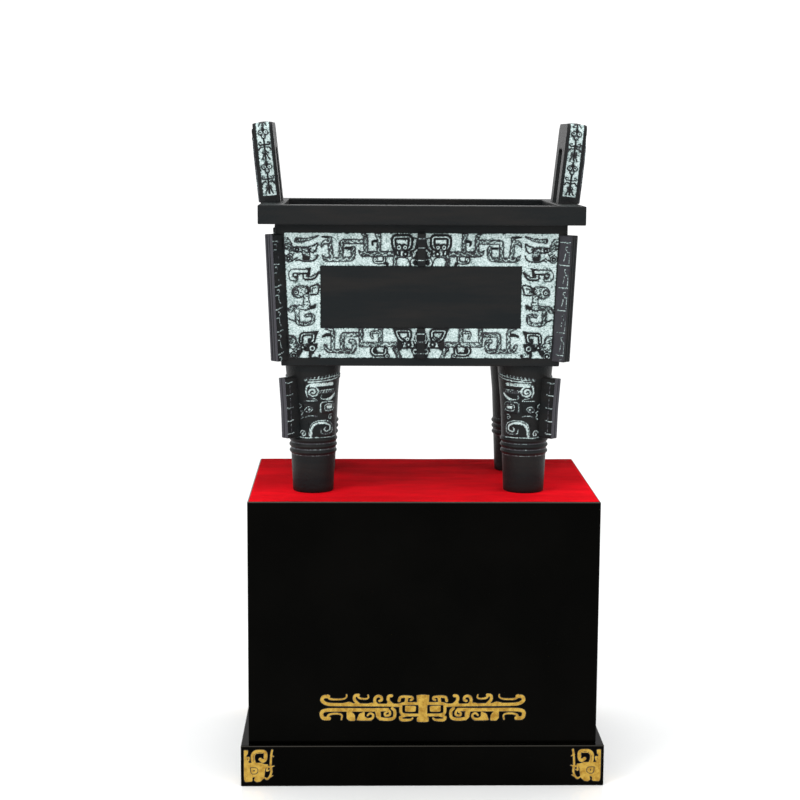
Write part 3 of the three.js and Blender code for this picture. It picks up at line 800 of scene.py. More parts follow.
LOWER_OUTER_DRAGON = [
    bar([(17.4, 2.15), (22.9, 2.15), (22.9, 7)], 1.3),
    bar([(20.3, 4.1), (19.35, 4.3), (19.35, 6.4), (19.9, 7.05), (27, 7), (27.6, 6.3), (27.8, 5.4)],
        1.35, "worked", 0.9),
    bar([(27.3, 0.2), (26, 0.6), (25.6, 1.6), (25.6, 6.8)], 1.1),
    line([(26.2, 2.2), (27.5, 2.2), (28.4, 2.7)], 0.9, "dark", 0.5),
]
LOWER_CORNER = [
    bar([(4.55, 4.3), (4.7, 2.6), (5.2, 2), (8.3, 1.9), (8.35, 2.6), (8.1, 4), (7.2, 4.3)], 1.1, "lined"),
    patch([(7.4, 1.5), (9.9, 1), (9.1, 2.5), (8.6, 4.6), (8.2, 4.2), (8.4, 2.2)]),
    patch([(0.9, 2.5), (2.6, 2.5), (3.2, 3.3), (3.3, 4.6), (3.9, 5.1), (3.3, 6.5), (2.5, 7.1), (1.6, 6.3),
           (0.9, 6)], "worked"),
    patch([(6.3, 4.95), (9.4, 4.8), (9.1, 6), (8.5, 7), (7.8, 8), (7.5, 7.2), (5.5, 6.9), (6.2, 5.9)]),
    bar([(7.1, 6.8), (7.1, 9.3), (9.3, 9.25)], 0.6, "dark"),
    patch([(3.4, 6.7), (5, 6.9), (4.4, 7.8), (3.6, 8.8), (3, 7.8)]),
]
LOWER_CORNER_EYE = [
    patch([(3.9, 5.6), (4.4, 5), (6, 5), (6, 5.7), (5.5, 6.7), (4.2, 6.6)], "pale"),
]
LOWER_CORNER_FINE = [
    boss((5, 5.9), 0.72),
    boss((7.1, 3.8), 0.5, "dark"),
    boss((2.3, 8.4), 0.65),
    ring((2.3, 8.4), 1.15, 0.12),
    boss((9.8, 8.4), 0.3, "dark"),
]
LOWER_CORNER_CUT = [
    ring((7.8, 6.2), 0.62, 0.3),
    line([(1.9, 5), (2.5, 5.4), (2, 5.9)], 0.34),
    line([(2.1, 3.3), (2.7, 3.5), (2.5, 4.4)], 0.28),
]
UPPER_BAND = (INNER_BOAT, OUTER_DRAGON, INNER_DRAGON, UPPER_MASK, UPPER_MASK_EYE, UPPER_MASK_FINE)
LOWER_BAND = (
    LOWER_BOAT, LOWER_OUTER_DRAGON, LOWER_INNER_DRAGON, LOWER_MASK, LOWER_MASK_EYE, LOWER_MASK_FINE,
)


def border_share(ax, y, edge, bare_half, bare_bottom, bare_top):
    """1 on the ornament, less along its borders, where the patina is worn off."""
    from_outside = np.minimum(np.minimum(edge - ax, BODY_HEIGHT - y), y - PLAIN_FOOT)
    from_field = np.maximum(np.maximum(ax - bare_half, bare_bottom - y), y - bare_top)
    return BORDER_TONE + (1 - BORDER_TONE) * smooth(np.minimum(from_outside, from_field), 0, BORDER_RUN)


def relief_panel(name, top_length, turn, top_half, step, stretch):
    """The ornament of one side: two bands, two columns and the bare field between them."""
    bare_half = top_length / 2 - COLUMN_WIDTH
    bare_bottom = PLAIN_FOOT + LOWER_BAND_HEIGHT
    bare_top = BODY_HEIGHT - UPPER_BAND_HEIGHT
    half = top_length / 2 - PANEL_EDGE
    across = ticks((-half, -bare_half, step), (-bare_half, bare_half, step), (bare_half, half, step))
    up = ticks((PLAIN_FOOT, bare_bottom, step), (bare_bottom, bare_top, step), (bare_top, BODY_HEIGHT, step))
    t, y = np.meshgrid(across, up)
    edge = half - (BODY_HEIGHT - y) * BODY_SLOPE
    outer = np.maximum(np.abs(t) - bare_half, 0) / (half - bare_half)
    ax = np.minimum(np.abs(t), bare_half) + outer * (edge - bare_half)
    x = np.sign(t) * ax

    relief = Relief(x.shape, PANEL_RISE, 1.0)
    # The masks keep their width. Past them a band's grid is stretched to fit the side.
    past = ax / CELL - MASK_RUN
    band_u = np.where(past < 0, ax / CELL, MASK_RUN + past / stretch)
    corner_u = (edge + PANEL_EDGE - FIGURE_EDGE - ax) / CELL
    top_v = (BODY_HEIGHT - y) / CELL
    column_v = top_v - COLUMN_DROP / CELL
    low_v = top_v - LOWER_BAND_DROP / CELL
    for figures, cuts, u, v in (
        (UPPER_BAND, UPPER_MASK_CUT, band_u, top_v),
        (LOWER_BAND, LOWER_MASK_CUT, band_u, low_v),
        ((UPPER_CORNER, UPPER_CORNER_FINE), [], corner_u, top_v),
        ((COLUMN, COLUMN_FINE), COLUMN_CUT, corner_u, column_v),
        ((LOWER_CORNER, LOWER_CORNER_EYE, LOWER_CORNER_FINE), LOWER_CORNER_CUT, corner_u, low_v),
    ):
        for figure in figures:
            relief.raise_marks(figure, u, v, CELL)
        relief.engrave(cuts, u, v, CELL, CUT_DEPTH)
    relief.patina_and_painted_light *= border_share(ax, y, edge, bare_half, bare_bottom, bare_top)

    mid_x = (across[:-1] + across[1:]) / 2
    mid_y = (up[:-1] + up[1:]) / 2
    bare = (np.abs(mid_x)[None, :] < bare_half) & ((mid_y > bare_bottom) & (mid_y < bare_top))[:, None]
    lean = Matrix.Rotation(math.pi / 2 + math.atan2(BODY_TAPER, BODY_HEIGHT), 4, "X")
    inner = Matrix.Translation((0, BODY_TAPER - top_half, LEG_HEIGHT)) @ lean
    points = np.stack([x, y, relief.height], -1)
    sunk = np.stack([x, y, np.full(x.shape, -PANEL_SINK)], -1)
    return open_grid(name, points, sunk, ~bare, relief.patina_and_painted_light, ding_place(turn, inner=inner))


def vessel_shell():
    """Body, neck, rim and cavity, without their ornament."""
    neck_bottom = LEG_HEIGHT + BODY_HEIGHT
    rim_bottom = neck_bottom + NECK_HEIGHT
    sections = [
        (LEG_HEIGHT, -BODY_TAPER),
        (neck_bottom, 0),
        (rim_bottom, 0),
        (rim_bottom, RIM_OVERHANG),
        (RIM_TOP, RIM_OVERHANG),
        (RIM_TOP, -WALL),
        (neck_bottom, -WALL),
        (LEG_HEIGHT + FLOOR, -WALL - BODY_SLOPE * (BODY_HEIGHT - FLOOR)),
    ]
    corners = [(-1, -1), (1, -1), (1, 1), (-1, 1)]
    points = np.array([
        [(sx * (BODY_LENGTH / 2 + out), sy * (BODY_DEPTH / 2 + out), height) for sx, sy in corners]
        for height, out in sections
    ])
    piece = closed_grid("ding_shell", points, np.zeros(len(sections) * 4), ding_place())
    piece.data.shade_flat()
    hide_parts("ding_vessel")
    rounding = piece.modifiers.new("rounded", "BEVEL")
    rounding.width = EDGE_ROUND * MM
    rounding.segments = EDGE_ROUND_STEPS
    rounding.limit_method = "ANGLE"
    rounding.angle_limit = EDGE_ROUND_ABOVE
    rounding.harden_normals = True


def rib_piece(name, place, thickness, inner, reach_at, bottom, top, tones, decorate):
    """A rib that stands out along x: its two sides and its outer edge carry marks."""
    half = thickness / 2
    chamfer = RIB_CHAMFER
    up = ticks((bottom, bottom + chamfer, chamfer), (bottom + chamfer, top - chamfer, RIB_STEP),
               (top - chamfer, top, chamfer))
    longest = max(reach_at(bottom), reach_at(top))
    side = ticks((0, chamfer, chamfer), (chamfer, longest - inner, RIB_STEP))
    edge = ticks((-half + chamfer, half - chamfer, RIB_STEP))
    # The way round: out along one side, over the edge and back along the other side
    back_in = np.concatenate([side[::-1], np.zeros(len(edge)), side])
    sideways = np.concatenate([np.full(len(side), -half), edge, np.full(len(side), half)])
    on_edge = np.concatenate([np.zeros(len(side)), np.ones(len(edge)), np.zeros(len(side))]) > 0
    q, z = np.meshgrid(back_in, up)
    a, on_edge = (np.broadcast_to(row, q.shape) for row in (sideways, on_edge))
    relief = Relief(q.shape)
    outermost = q < chamfer / 2
    # Tones a little above zero paint a highlight on the rib's edge, corners and sides
    edge_tone, corner_tone, side_tone = tones
    relief.patina_and_painted_light[:] = np.where(on_edge, edge_tone, np.where(outermost, corner_tone, side_tone))
    decorate(relief, np.where(on_edge, FAR, q), np.where(on_edge, a, FAR), z)
    end = (z < bottom + TINY) | (z > top - TINY)
    r = reach_at(z) - q * (reach_at(z) - inner) / (longest - inner)
    r = r + np.where(on_edge, relief.height, 0) - np.where(outermost & ~on_edge, chamfer, 0)
    a = a + np.where(on_edge, 0, np.sign(a) * relief.height)
    a = np.where(end, a * (1 - chamfer / half), a)
    r = np.where(end & outermost, r - chamfer, r)
    closed_grid(name, np.stack([r, a, z], -1), relief.patina_and_painted_light, place)


# Marks on a rib's side, in millimetres in from its edge and up
RIB_UNIT = 38.4
RIB_UNIT_MARKS = [
    line([(0.7, 0), (8.8, 0.3), (12.4, 1.9), (20.5, 3.4)], 1.5, end=1.1),
    line([(7.3, -5), (11, -4.1), (13.9, -6.4), (13.5, -9), (10.5, -10.5)], 1.4, end=0.9),
    line([(2.2, -14.7), (10.3, -13.8), (11.6, -17), (11.7, -21.7), (13.2, -25.5), (16.1, -28)], 1.2),
]
RIB_TOP_MARKS = [
    line([(0.7, 0), (8.8, 0.3), (15, -0.6)], 1.5, end=1.1),
    line([(5.5, -5), (9, -4.1), (9.9, -8.4)], 1.4, end=0.9),
    line([(1.8, -14.7), (9.3, -13.8)], 1.4, end=0.9),
    line([(13, -26), (14.5, -28)], 1.2, end=0.6),
]
RIB_RIGHT_MARKS = [
    line([(0.7, 0), (12, -0.4), (24, 0.3)], 1.3),
    line([(7, -7.5), (11, -7), (12.2, -10.5), (8.4, -13), (7.2, -17)], 1.2, end=0.9),
    line([(2.4, -16.5), (7.5, -17)], 1.1),
    line([(2.2, -18), (2.4, -35)], 0.8),
    line([(11.5, -19.5), (12.2, -26), (14.5, -31)], 1.2, end=0.9),
]
RIB_MARKS_DROP = 15
RIB_TOP_UNITS = 2
RIB_MARK_DEPTH = 0.8
RIB_MARK_PATINA = 0.95
EDGE_GROOVES = (-3.4, 2.4)
EDGE_GROOVE_WIDTH = 1.7
EDGE_GROOVE_DEPTH = 1.3

# Tones of a rib's outer edge, of its corners and of its sides. Tones a little above zero are a painted
# highlight of lighter metal, which differs on the left and right ribs by where the light falls.
PLAIN_TONES = (0.0, 0.0, 0.0)
PAINTED_HIGHLIGHT_TONES = (0.13, 0.2, 0.0)
CORNER_RIB_LOOKS = {
    "left": (PAINTED_HIGHLIGHT_TONES, RIB_TOP_MARKS, RIB_UNIT_MARKS),
    "right": ((0.05, 0.2, 0.11), RIB_RIGHT_MARKS, RIB_RIGHT_MARKS),
}


def corner_rib_marks(top_marks, other_marks, relief, sides, over_edge, z):
    for count, top in enumerate(np.arange(BODY_HEIGHT - RIB_MARKS_DROP, CORNER_RIB_BOTTOM, -RIB_UNIT)):
        marks = top_marks if count < RIB_TOP_UNITS else other_marks
        relief.engrave(marks, sides, z - top, depth=RIB_MARK_DEPTH, patina_and_painted_light=RIB_MARK_PATINA)
    for offset in EDGE_GROOVES:
        groove = line([(offset, 0), (offset, BODY_HEIGHT)], EDGE_GROOVE_WIDTH)
        relief.engrave([groove], over_edge, z, depth=EDGE_GROOVE_DEPTH, patina_and_painted_light=0.0)


MIDDLE_RIB_SHARES = (0.17, 0.44, 0.82)
MIDDLE_RIB_EDGE_MARK = line([(-5.5, 0), (5.5, 0)], 1.2)
MIDDLE_RIB_SIDE_MARK = line([(1, 0), (8, 0.5)], 1.2)


def middle_rib_marks(bottom, top, relief, sides, over_edge, z):
    for share in MIDDLE_RIB_SHARES:
        up = z - (top - share * (top - bottom))
        relief.engrave([MIDDLE_RIB_EDGE_MARK], over_edge, up, patina_and_painted_light=RIB_MARK_PATINA)
        relief.engrave([MIDDLE_RIB_SIDE_MARK], sides, up, patina_and_painted_light=0.9)


LEG_RIB_LINES = (196, 174.5, 152, 129.5, 107)
LEG_RIB_MARK = line([(0.7, 0), (8, -0.8), (18.5, 0.8)], 1.6, end=1.2)
LEG_RIB_GROOVE = line([(0, LEG_RIB_BOTTOM), (0, LEG_RIB_TOP)], 1.6)


def leg_rib_marks(relief, sides, over_edge, z):
    for height in LEG_RIB_LINES:
        relief.engrave([LEG_RIB_MARK], sides, z - height, patina_and_painted_light=RIB_MARK_PATINA)
    for high, low in zip(LEG_RIB_LINES[:-1], LEG_RIB_LINES[1:]):
        tick = line([(11, high - 5), (12.5, (high + low) / 2), (11.5, low + 3)], 0.9, end=0.7)
        relief.engrave([tick], sides, z, depth=0.5, patina_and_painted_light=0.5)
    relief.engrave([LEG_RIB_GROOVE], over_edge, z, depth=1.0, patina_and_painted_light=0.0)


def leg_radius(height):
    """Radius of a leg at a height above its foot, without the rings."""
    low = LEG_FOOT_RADIUS + (LEG_FLARE_RADIUS - LEG_FOOT_RADIUS) * height / LEG_FLARE_START
    share = (height - LEG_FLARE_START) / (LEG_HEIGHT - LEG_FLARE_START)
    high = LEG_FLARE_RADIUS + (LEG_TOP_RADIUS - LEG_FLARE_RADIUS) * share
    return np.where(height < LEG_FLARE_START, low, high)


# A leg's mask, in millimetres round the leg from its rib and up from its foot
LEG_RAISED = [
    patch([(19, 200), (26, 203), (92, 210), (92, 199), (60, 196), (44, 176), (20, 172)]),
    patch([(46, 164), (76, 164), (76, 141), (46, 141)]),
    patch([(26, 126), (74, 128), (75, 100), (50, 100), (26, 101)]),
    patch([(16, 157), (40, 157), (40, 141), (18, 141)]),
]
LEG_MINT = [
    line([(20, 200), (36, 200.5), (62, 204), (92, 209.5)], 1.2),
    line([(27, 196.5), (44, 197.5), (70, 200), (90, 205)], 2.2, end=1.2),
    line([(32, 191.6), (68, 191.6)], 6),
    line(spiral((33, 179), 10.5, 1.6, 110, -1), 2.4, end=3.4),
    line([(24, 170), (22, 180), (24, 190), (31, 193)], 2.2, end=3),
    line([(42, 181), (76, 182.5)], 1),
    line([(43, 177.5), (74, 177.6)], 1),
    line([(28, 168), (38, 166.5), (40, 163.5)], 1),
    line([(19, 163), (38, 163)], 1),
    line([(48, 173), (46, 168), (52, 165), (62, 167)], 1.2),
    patch([(54, 165), (66, 169), (79, 178), (77, 170), (68, 164.5), (60, 163)]),
    line([(47, 143), (46, 158), (50, 161.5), (74, 161), (75, 146), (55, 144.5), (53, 154), (57, 157),
          (69, 156)], 1.3),
    patch([(57, 153.5), (69, 154.5), (69, 149), (58, 148)]),
    line([(7, 158), (14, 153.5), (8, 149)], 1),
    line([(19, 147), (25, 154.5), (34, 150), (28, 143), (20, 145)], 1),
    patch([(26, 150.5), (30, 149), (28, 146.5), (25, 147.5)]),
    line([(11, 145), (16, 143), (12, 138), (16, 134), (11, 131)], 1.2),
    line([(20, 134), (27, 137.5), (40, 136)], 0.9),
    line(spiral((68, 133.5), 5.5, 1.1, 60), 1.2),
    line([(29, 101), (31, 116), (37, 123.5), (54, 125), (66, 119), (66, 111), (58, 108.5), (53, 112),
          (56, 116)], 4.2, end=2.6),
    line([(26, 101), (28, 119), (36, 127.5), (58, 128.5), (71, 122), (72, 105), (48, 104.5), (47, 113)],
        1.2),
    line(spiral((15, 105), 6.5, 1.2, 170, -1), 1.6, end=2.4),
    line([(6, 99), (20, 97.5), (40, 99), (76, 97.5)], 1.8, end=1),
]
# The short strokes across the brow, then those under it
for x in range(2, 68, 6):
    LEG_MINT.append(line([(20 + x, 198 + 0.11 * x), (22.5 + x, 203 + 0.12 * x)], 1.1))
for x in range(46, 74, 5):
    LEG_MINT.append(line([(x, 178), (x + 1.5, 182)], 1))
LEG_STEP = 1.25
LEG_COARSE_STEP = 6
LEG_FINE_TOP = 212
LEG_FINE_WAY = 94
LEG_PLAIN_TOP = 58
LEG_PLAIN_STEP = 8
LEG_FOOT_CHAMFER = 1.5
LEG_FIGURE_RISE = 1.2
LEG_FIGURE_SHARE = 0.6
LEG_MINT_DEPTH = 0.8
RING_SHARPNESS = 0.8
RING_PATINA = 0.5
RING_PATINA_SHARE = 0.1
RING_PATINA_REACH = 1.7


def leg_piece(name, place):
    """A round leg, its rings and the mask on the side of its rib."""
    around = math.pi * LEG_FLARE_RADIUS
    way = ticks(
        (-around, -LEG_FINE_WAY, LEG_COARSE_STEP),
        (-LEG_FINE_WAY, LEG_FINE_WAY, LEG_STEP),
        (LEG_FINE_WAY, around, LEG_COARSE_STEP),
    )[:-1]
    ring_top = RING_START + RING_COUNT * RING_PITCH
    up = ticks(
        (0, LEG_FOOT_CHAMFER, LEG_FOOT_CHAMFER),
        (LEG_FOOT_CHAMFER, LEG_PLAIN_TOP, LEG_PLAIN_STEP),
        (LEG_PLAIN_TOP, ring_top, 1),
        (ring_top, LEG_FINE_TOP, LEG_STEP),
        (LEG_FINE_TOP, LEG_HEIGHT + LEG_SINK, LEG_COARSE_STEP),
    )
    s, h = np.meshgrid(way, up)
    relief = Relief(s.shape, -PANEL_RISE)
    relief.raise_marks(LEG_RAISED, np.abs(s), h, rise=LEG_FIGURE_RISE)
    relief.height = np.maximum(relief.height + PANEL_RISE, 0) * LEG_FIGURE_SHARE
    relief.patina_and_painted_light[:] = 0
    relief.engrave(LEG_MINT, np.abs(s), h, depth=LEG_MINT_DEPTH)
    ring_share = (h - RING_START) / RING_PITCH
    on_rings = (ring_share > 0) & (ring_share < RING_COUNT)
    ridge = np.where(on_rings, 0.5 - 0.5 * np.cos(2 * math.pi * ring_share), 0)
    groove = smooth(np.abs((ring_share + 0.5) % 1 - 0.5), RING_PATINA_SHARE, 0.0)
    groove = groove * (np.abs(ring_share - RING_COUNT / 2) < RING_PATINA_REACH)
    relief.patina_and_painted_light = np.maximum(relief.patina_and_painted_light, RING_PATINA * groove)
    radius = leg_radius(h) + RING_RISE * ridge ** RING_SHARPNESS + relief.height
    radius = radius - np.where(h < TINY, LEG_FOOT_CHAMFER, 0)
    angle = s / LEG_FLARE_RADIUS
    closed_grid(name, np.stack([radius * np.cos(angle), radius * np.sin(angle), h], -1), relief.patina_and_painted_light, place)


# An ear's edge carries small creatures, counted across it and up from their eyes
EAR_CREATURE = [
    line([(0, 9), (0, 4)], 2.6, "dark", 4),
    boss((0, -7.4), 3, "curl"),
    line([(0, -9), (0, -46)], 1.3, "dark"),
]
EAR_CREATURE_HALF = [
    boss((4.7, 0), 4.3, "curl"),
    line([(4.6, -3), (2.8, -9.5)], 0.8, "dark"),
    line([(0, -21), (5, -20.5), (8, -21), (10, -17.5)], 1, "dark"),
    line([(5.5, -17), (8.5, -16)], 0.8, "dark"),
    line([(4, -25.5), (8, -25), (10.5, -29)], 1.2, "dark"),
    line([(2.5, -36), (3.4, -40), (6.5, -46.5)], 1.2, "dark", 0.9),
    line([(3, -32.5), (5, -36)], 0.8, "dark"),
]
EAR_CREATURE_HEIGHTS = (62, 121.5, 181)
EAR_PANEL_BOTTOM = 12
EAR_RISE = 0.3 - PANEL_RISE

# A beast that climbs an ear's outer face, for one half of it
EAR_BEAST = [
    line([(50, 6), (51, 40), (50, 78), (44, 98), (30, 110)], 11, "worked", 12),
    line([(47, 62), (36, 58), (34, 50)], 6, "dark", 4),
    line([(47, 24), (36, 20), (34, 12)], 6, "dark", 4),
    patch([(34, 119), (38, 105), (28, 98), (14, 100), (7, 106), (8, 118), (20, 124)]),
    line([(31, 118), (37, 124), (32, 128)], 3, "dark"),
]
EAR_BEAST_FINE = [
    boss((22, 112), 3.6),
    line([(8, 109), (16, 106), (26, 103)], 1.6),
]
EAR_EDGE_STEP = 1.0
EAR_FACE_STEP = 0.034
EAR_BACK_STEP = 6
EAR_BEND_STEP = 0.09
EAR_EDGE_ROUND = 1.6
EAR_PANEL_DEPTH = 1.2
EAR_PANEL_BORDER = (0.4, 1.4)
EAR_BEAST_RISE = 1.8
EAR_BEAST_FINE_RISE = 2.0


def ear_outline(half, top, bend):
    """Points of an outline up one side of an ear, over its top and down the other side."""
    legs = ticks((0, 1, EAR_STEP / (EAR_HEIGHT + EAR_SINK - EAR_CORNER)))[:-1]
    turns = ticks((0, 1, EAR_BEND_STEP))[:-1] * math.pi / 2
    tops = ticks((0, 1, EAR_STEP / (EAR_WIDTH - 2 * EAR_CORNER)))[:-1]
    rising = [(half, -EAR_SINK + share * (top - bend + EAR_SINK)) for share in legs]
    rising += [(half - bend + bend * math.cos(turn), top - bend + bend * math.sin(turn)) for turn in turns]
    level = [((half - bend) * (1 - 2 * share), top) for share in tops]
    falling = [(-x, y) for x, y in (rising + level[:1])[::-1]]
    return np.array(rising + level + falling, float)


def ear_piece(name, place):
    """An upright ear: a square loop whose edge and faces carry marks."""
    outer = ear_outline(EAR_WIDTH / 2, EAR_HEIGHT, EAR_CORNER)
    inner = ear_outline(EAR_OPENING_WIDTH / 2, EAR_OPENING_HEIGHT, EAR_OPENING_CORNER)
    way = np.concatenate([[0], np.cumsum(np.hypot(*(outer[1:] - outer[:-1]).T))]) - EAR_SINK
    half = EAR_THICKNESS / 2
    flat = half - EAR_BORDER
    edge = ticks((-flat, flat, EAR_EDGE_STEP))
    down = ticks((0, 1, EAR_FACE_STEP))
    back = ticks((-flat, flat, EAR_BACK_STEP))
    # The way round the loop's section: its outer edge, one face, its inner edge and the other face
    face_share = np.concatenate([np.zeros(len(edge)), down, np.ones(len(back)), down[::-1]])
    z = np.concatenate([edge, np.full(len(down), half), back[::-1], np.full(len(down), -half)])
    kind = np.repeat([0, 1, 2, 3], [len(edge), len(down), len(back), len(down)])
    shape = (len(way), len(z))
    kind, z = (np.broadcast_to(row, shape) for row in (kind, z))
    on_edge, on_face = kind == 0, kind == 1
    gap = inner - outer
    span = np.hypot(*gap.T)[:, None]
    along = (gap / span)[:, None, :]
    offset = np.where(kind == 2, span, EAR_CROWN + face_share * (span - 2 * EAR_CROWN))
    offset = np.where(on_edge, 0, offset)
    over = np.broadcast_to(np.minimum(way, way[-1] - EAR_SINK - way)[:, None], shape)

    panel = on_edge & (over > EAR_PANEL_BOTTOM)
    creatures = Relief(shape, -EAR_PANEL_DEPTH, 1.0)
    across = np.where(panel, z, FAR)
    for eyes in EAR_CREATURE_HEIGHTS:
        creatures.raise_marks(EAR_CREATURE, across, over - eyes, rise=EAR_RISE)
        creatures.raise_marks(EAR_CREATURE_HALF, np.abs(across), over - eyes, rise=EAR_RISE)
    inside = smooth(flat - np.abs(z), *EAR_PANEL_BORDER)
    spot = outer[:, None, :] + along * offset[..., None]
    beast = Relief(shape, -PANEL_RISE)
    x_face = np.where(on_face, np.abs(spot[..., 0]), FAR)
    beast.raise_marks(EAR_BEAST, x_face, spot[..., 1], rise=EAR_BEAST_RISE)
    beast.raise_marks(EAR_BEAST_FINE, x_face, spot[..., 1], rise=EAR_BEAST_FINE_RISE)
    height = np.select([panel, on_face], [creatures.height * inside, beast.height + PANEL_RISE])
    patina_and_painted_light = np.select([panel, on_face], [creatures.patina_and_painted_light * inside, beast.patina_and_painted_light])

    crown = EAR_EDGE_ROUND * (z / flat) ** 2
    spot = spot - along * np.where(on_edge, height - crown, 0)[..., None]
    z = z + np.where(on_face, height, 0)
    closed_grid(name, np.concatenate([spot, z[..., None]], -1), patina_and_painted_light, place)


def ear_place(side):
    upright = Matrix(((0, 0, 1, 0), (1, 0, 0, 0), (0, 1, 0, 0), (0, 0, 0, 1)))
    leaning = Matrix.Rotation(EAR_LEAN, 4, "Y") @ upright
    out = BODY_LENGTH / 2 + RIM_OVERHANG - EAR_INSET
    return ding_place(0 if side > 0 else math.pi, side * out, 0, RIM_TOP, leaning)


# Painted ornament of the plinth: the front's, away from its middle and down from its top, and a
# corner's, away from the corner
GOLD_UNIT = 13.31
GOLD_HALF_WIDTH = 13.6
GOLD_HEIGHT = 3.7
GOLD_BOTTOM = 38
GOLD_MARGIN = 5
GOLD_MASK = [
    line([(12.3, 0.25), (13, 0.25), (13.2, 0.8), (12.6, 1.25), (11.5, 1.35), (5, 1.4), (3.2, 1.5)],
        0.42, end=0.3),
    line([(12.4, 0.1), (12.25, 0.5), (11.8, 0.65), (10.3, 0.62), (9.9, 0.3), (9.95, 0)], 0.25, end=0.14),
    line([(8.4, 0.05), (8.9, 0.1), (8.95, 0.7), (8.4, 1.25)], 0.34),
    line([(8.5, 0.1), (8.3, 0.5), (7.4, 0.6), (7.05, 0.4), (7.15, 0.05)], 0.25, end=0.14),
    line([(6, 1.35), (6.3, 1), (6.25, 0.4), (5.85, 0.15), (5.4, 0.3), (5.35, 0.75), (5.65, 0.85)],
        0.36, end=0.3),
    line([(4.1, 0.15), (4.5, 0.2), (4.55, 0.8), (4, 1.35)], 0.38, end=0.34),
    line([(4.5, 1.2), (3.6, 1.45), (2.9, 1.35), (2.6, 1.2), (0.6, 1.2)], 0.34),
    line([(3.1, 0.85), (3, 0.35), (2.5, 0.25), (1.4, 0.3), (1.3, 0.6), (1.6, 0.75)], 0.32, end=0.24),
    line([(2.1, 0.3), (2.2, 1.2)], 0.36),
    patch([(0.8, 0.1), (-0.1, 0), (-0.1, 3.7), (0.75, 3.65), (0.75, 3.1), (0.3, 2.9), (0.55, 2.5),
           (0.55, 1.5), (0.75, 1)]),
    patch([(2.3, 1.5), (0.9, 1.55), (0.95, 2.3), (2.3, 2.3)]),
    line([(2.85, 1.4), (2.9, 2.45), (2.5, 2.75), (0.5, 2.75)], 0.34),
    line([(2.9, 3.3), (2.9, 3), (2.2, 2.8)], 0.3),
    line([(2.9, 3.1), (2.8, 3.45), (1.6, 3.45), (1.35, 3.2)], 0.4, end=0.2),
    line([(12.2, 3.2), (13.1, 3.2), (13.25, 2.3), (12.5, 2.02), (7, 2.07), (4.6, 2.02)], 0.44, end=0.4),
    line([(12.4, 3.2), (12.35, 2.75), (11.8, 2.55), (10.9, 2.55), (10.5, 2.75), (10.6, 3.35)],
        0.26, end=0.16),
    patch([(9.9, 2.3), (9.4, 2.2), (8.9, 2.7), (8.8, 3.5), (9.6, 3.5), (9.9, 3.2)]),
    patch([(8.6, 3.45), (8.3, 2.6), (7.6, 2.3), (7.6, 3), (6.5, 3.5)]),
    line([(8.2, 3.3), (6.6, 3.35), (6.4, 2.7), (6.9, 2.45), (7.2, 2.8)], 0.36, end=0.2),
    line([(6, 2.2), (5.8, 3.3), (3.7, 3.35), (3.6, 2.2), (4, 1.85)], 0.4, end=0.34),
    patch([(6, 2.4), (5.5, 2.3), (5.5, 3.5), (5.7, 3.4)]),
    line([(5.6, 2), (4.4, 2.05), (4.2, 2.75), (4.9, 2.9), (5, 2.5), (4.7, 2.35)], 0.3, end=0.22),
    patch([(11, 1.3), (9.6, 0.95), (9, 1.2), (8.3, 1.5), (6.5, 1.05), (5.5, 1.55), (7, 1.55)]),
]
GOLD_CORNER_WIDTH = 5.0
GOLD_CORNER_UNIT = 10.8
GOLD_CORNER_GAP = 5.6
GOLD_CORNER_TOP = 8
GOLD_CORNER = [
    patch([(0, 0), (0.65, 0), (0.6, 0.6), (0.35, 0.9), (0.6, 1.9), (0.8, 2.1), (1.6, 2.1), (2.7, 2.1),
           (3.2, 2.3), (3.9, 2.4), (3.4, 3), (3.3, 3.7), (3.2, 4.6), (2.6, 5.2), (2, 5.3), (1.6, 5),
           (1.8, 4.4), (1.3, 4.5), (1.3, 5.2), (0, 5.3)]),
    line([(0.4, 1.3), (0.85, 1.15), (0.7, 1.75)], 0.22),
    line([(1.6, 2.2), (1.4, 1.6), (1.4, 0.7), (1.9, 0.2), (3.2, 0.2), (3.5, 0.6), (3.4, 1.6), (3, 1.85),
          (2.6, 1.5)], 0.62, end=0.5),
    line([(4.5, 0), (4.35, 0.8), (4.25, 2.6)], 0.28),
    line([(4.3, 0.8), (4.75, 1.05)], 0.24, end=0.1),
    line([(3.5, 2.7), (4.2, 2.8), (4.8, 2.6)], 0.3, end=0.12),
    line([(4.3, 2.8), (4.4, 3.8), (3.8, 4.9), (3.3, 4.6)], 0.34, end=0.2),
    line([(3.7, 3), (3.6, 3.5), (4, 3.3)], 0.24, end=0.14),
    line([(3.6, 4.8), (4.6, 4.2)], 0.24, end=0.1),
]
GOLD_CORNER_CUT = [
    line([(1, 2.9), (2.2, 2.9), (2.2, 3.9), (1.1, 4), (1, 2.9)], 0.14),
    boss((1.6, 3.4), 0.14),
    line([(1.5, 1.9), (1.5, 0.8), (2, 0.35), (3.1, 0.35), (3.3, 0.8), (3.2, 1.5)], 0.07),
]
GOLD_EDGE_SOFT = 0.65
GOLD_SPREAD = 0.1


def gold_share(marks, cuts, u, v, unit):
    """1 where gold is painted, 0.5 at its edge and 0 away from it."""
    deepest = np.full(u.shape, -FAR)
    for mark in marks:
        deepest = np.maximum(deepest, mark_field(mark, u, v)[0] * unit)
    for mark in cuts:
        deepest = np.minimum(deepest, -mark_field(mark, u, v)[0] * unit - GOLD_SPREAD)
    return np.clip(0.5 + (deepest + GOLD_SPREAD) / (2 * GOLD_EDGE_SOFT), 0, 1)


def box_size(node):
    """Half length, half depth, bottom and top of a node, in millimetres."""
    low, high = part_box(node)
    return high.x / MM, high.y / MM, low.z / MM, high.z / MM


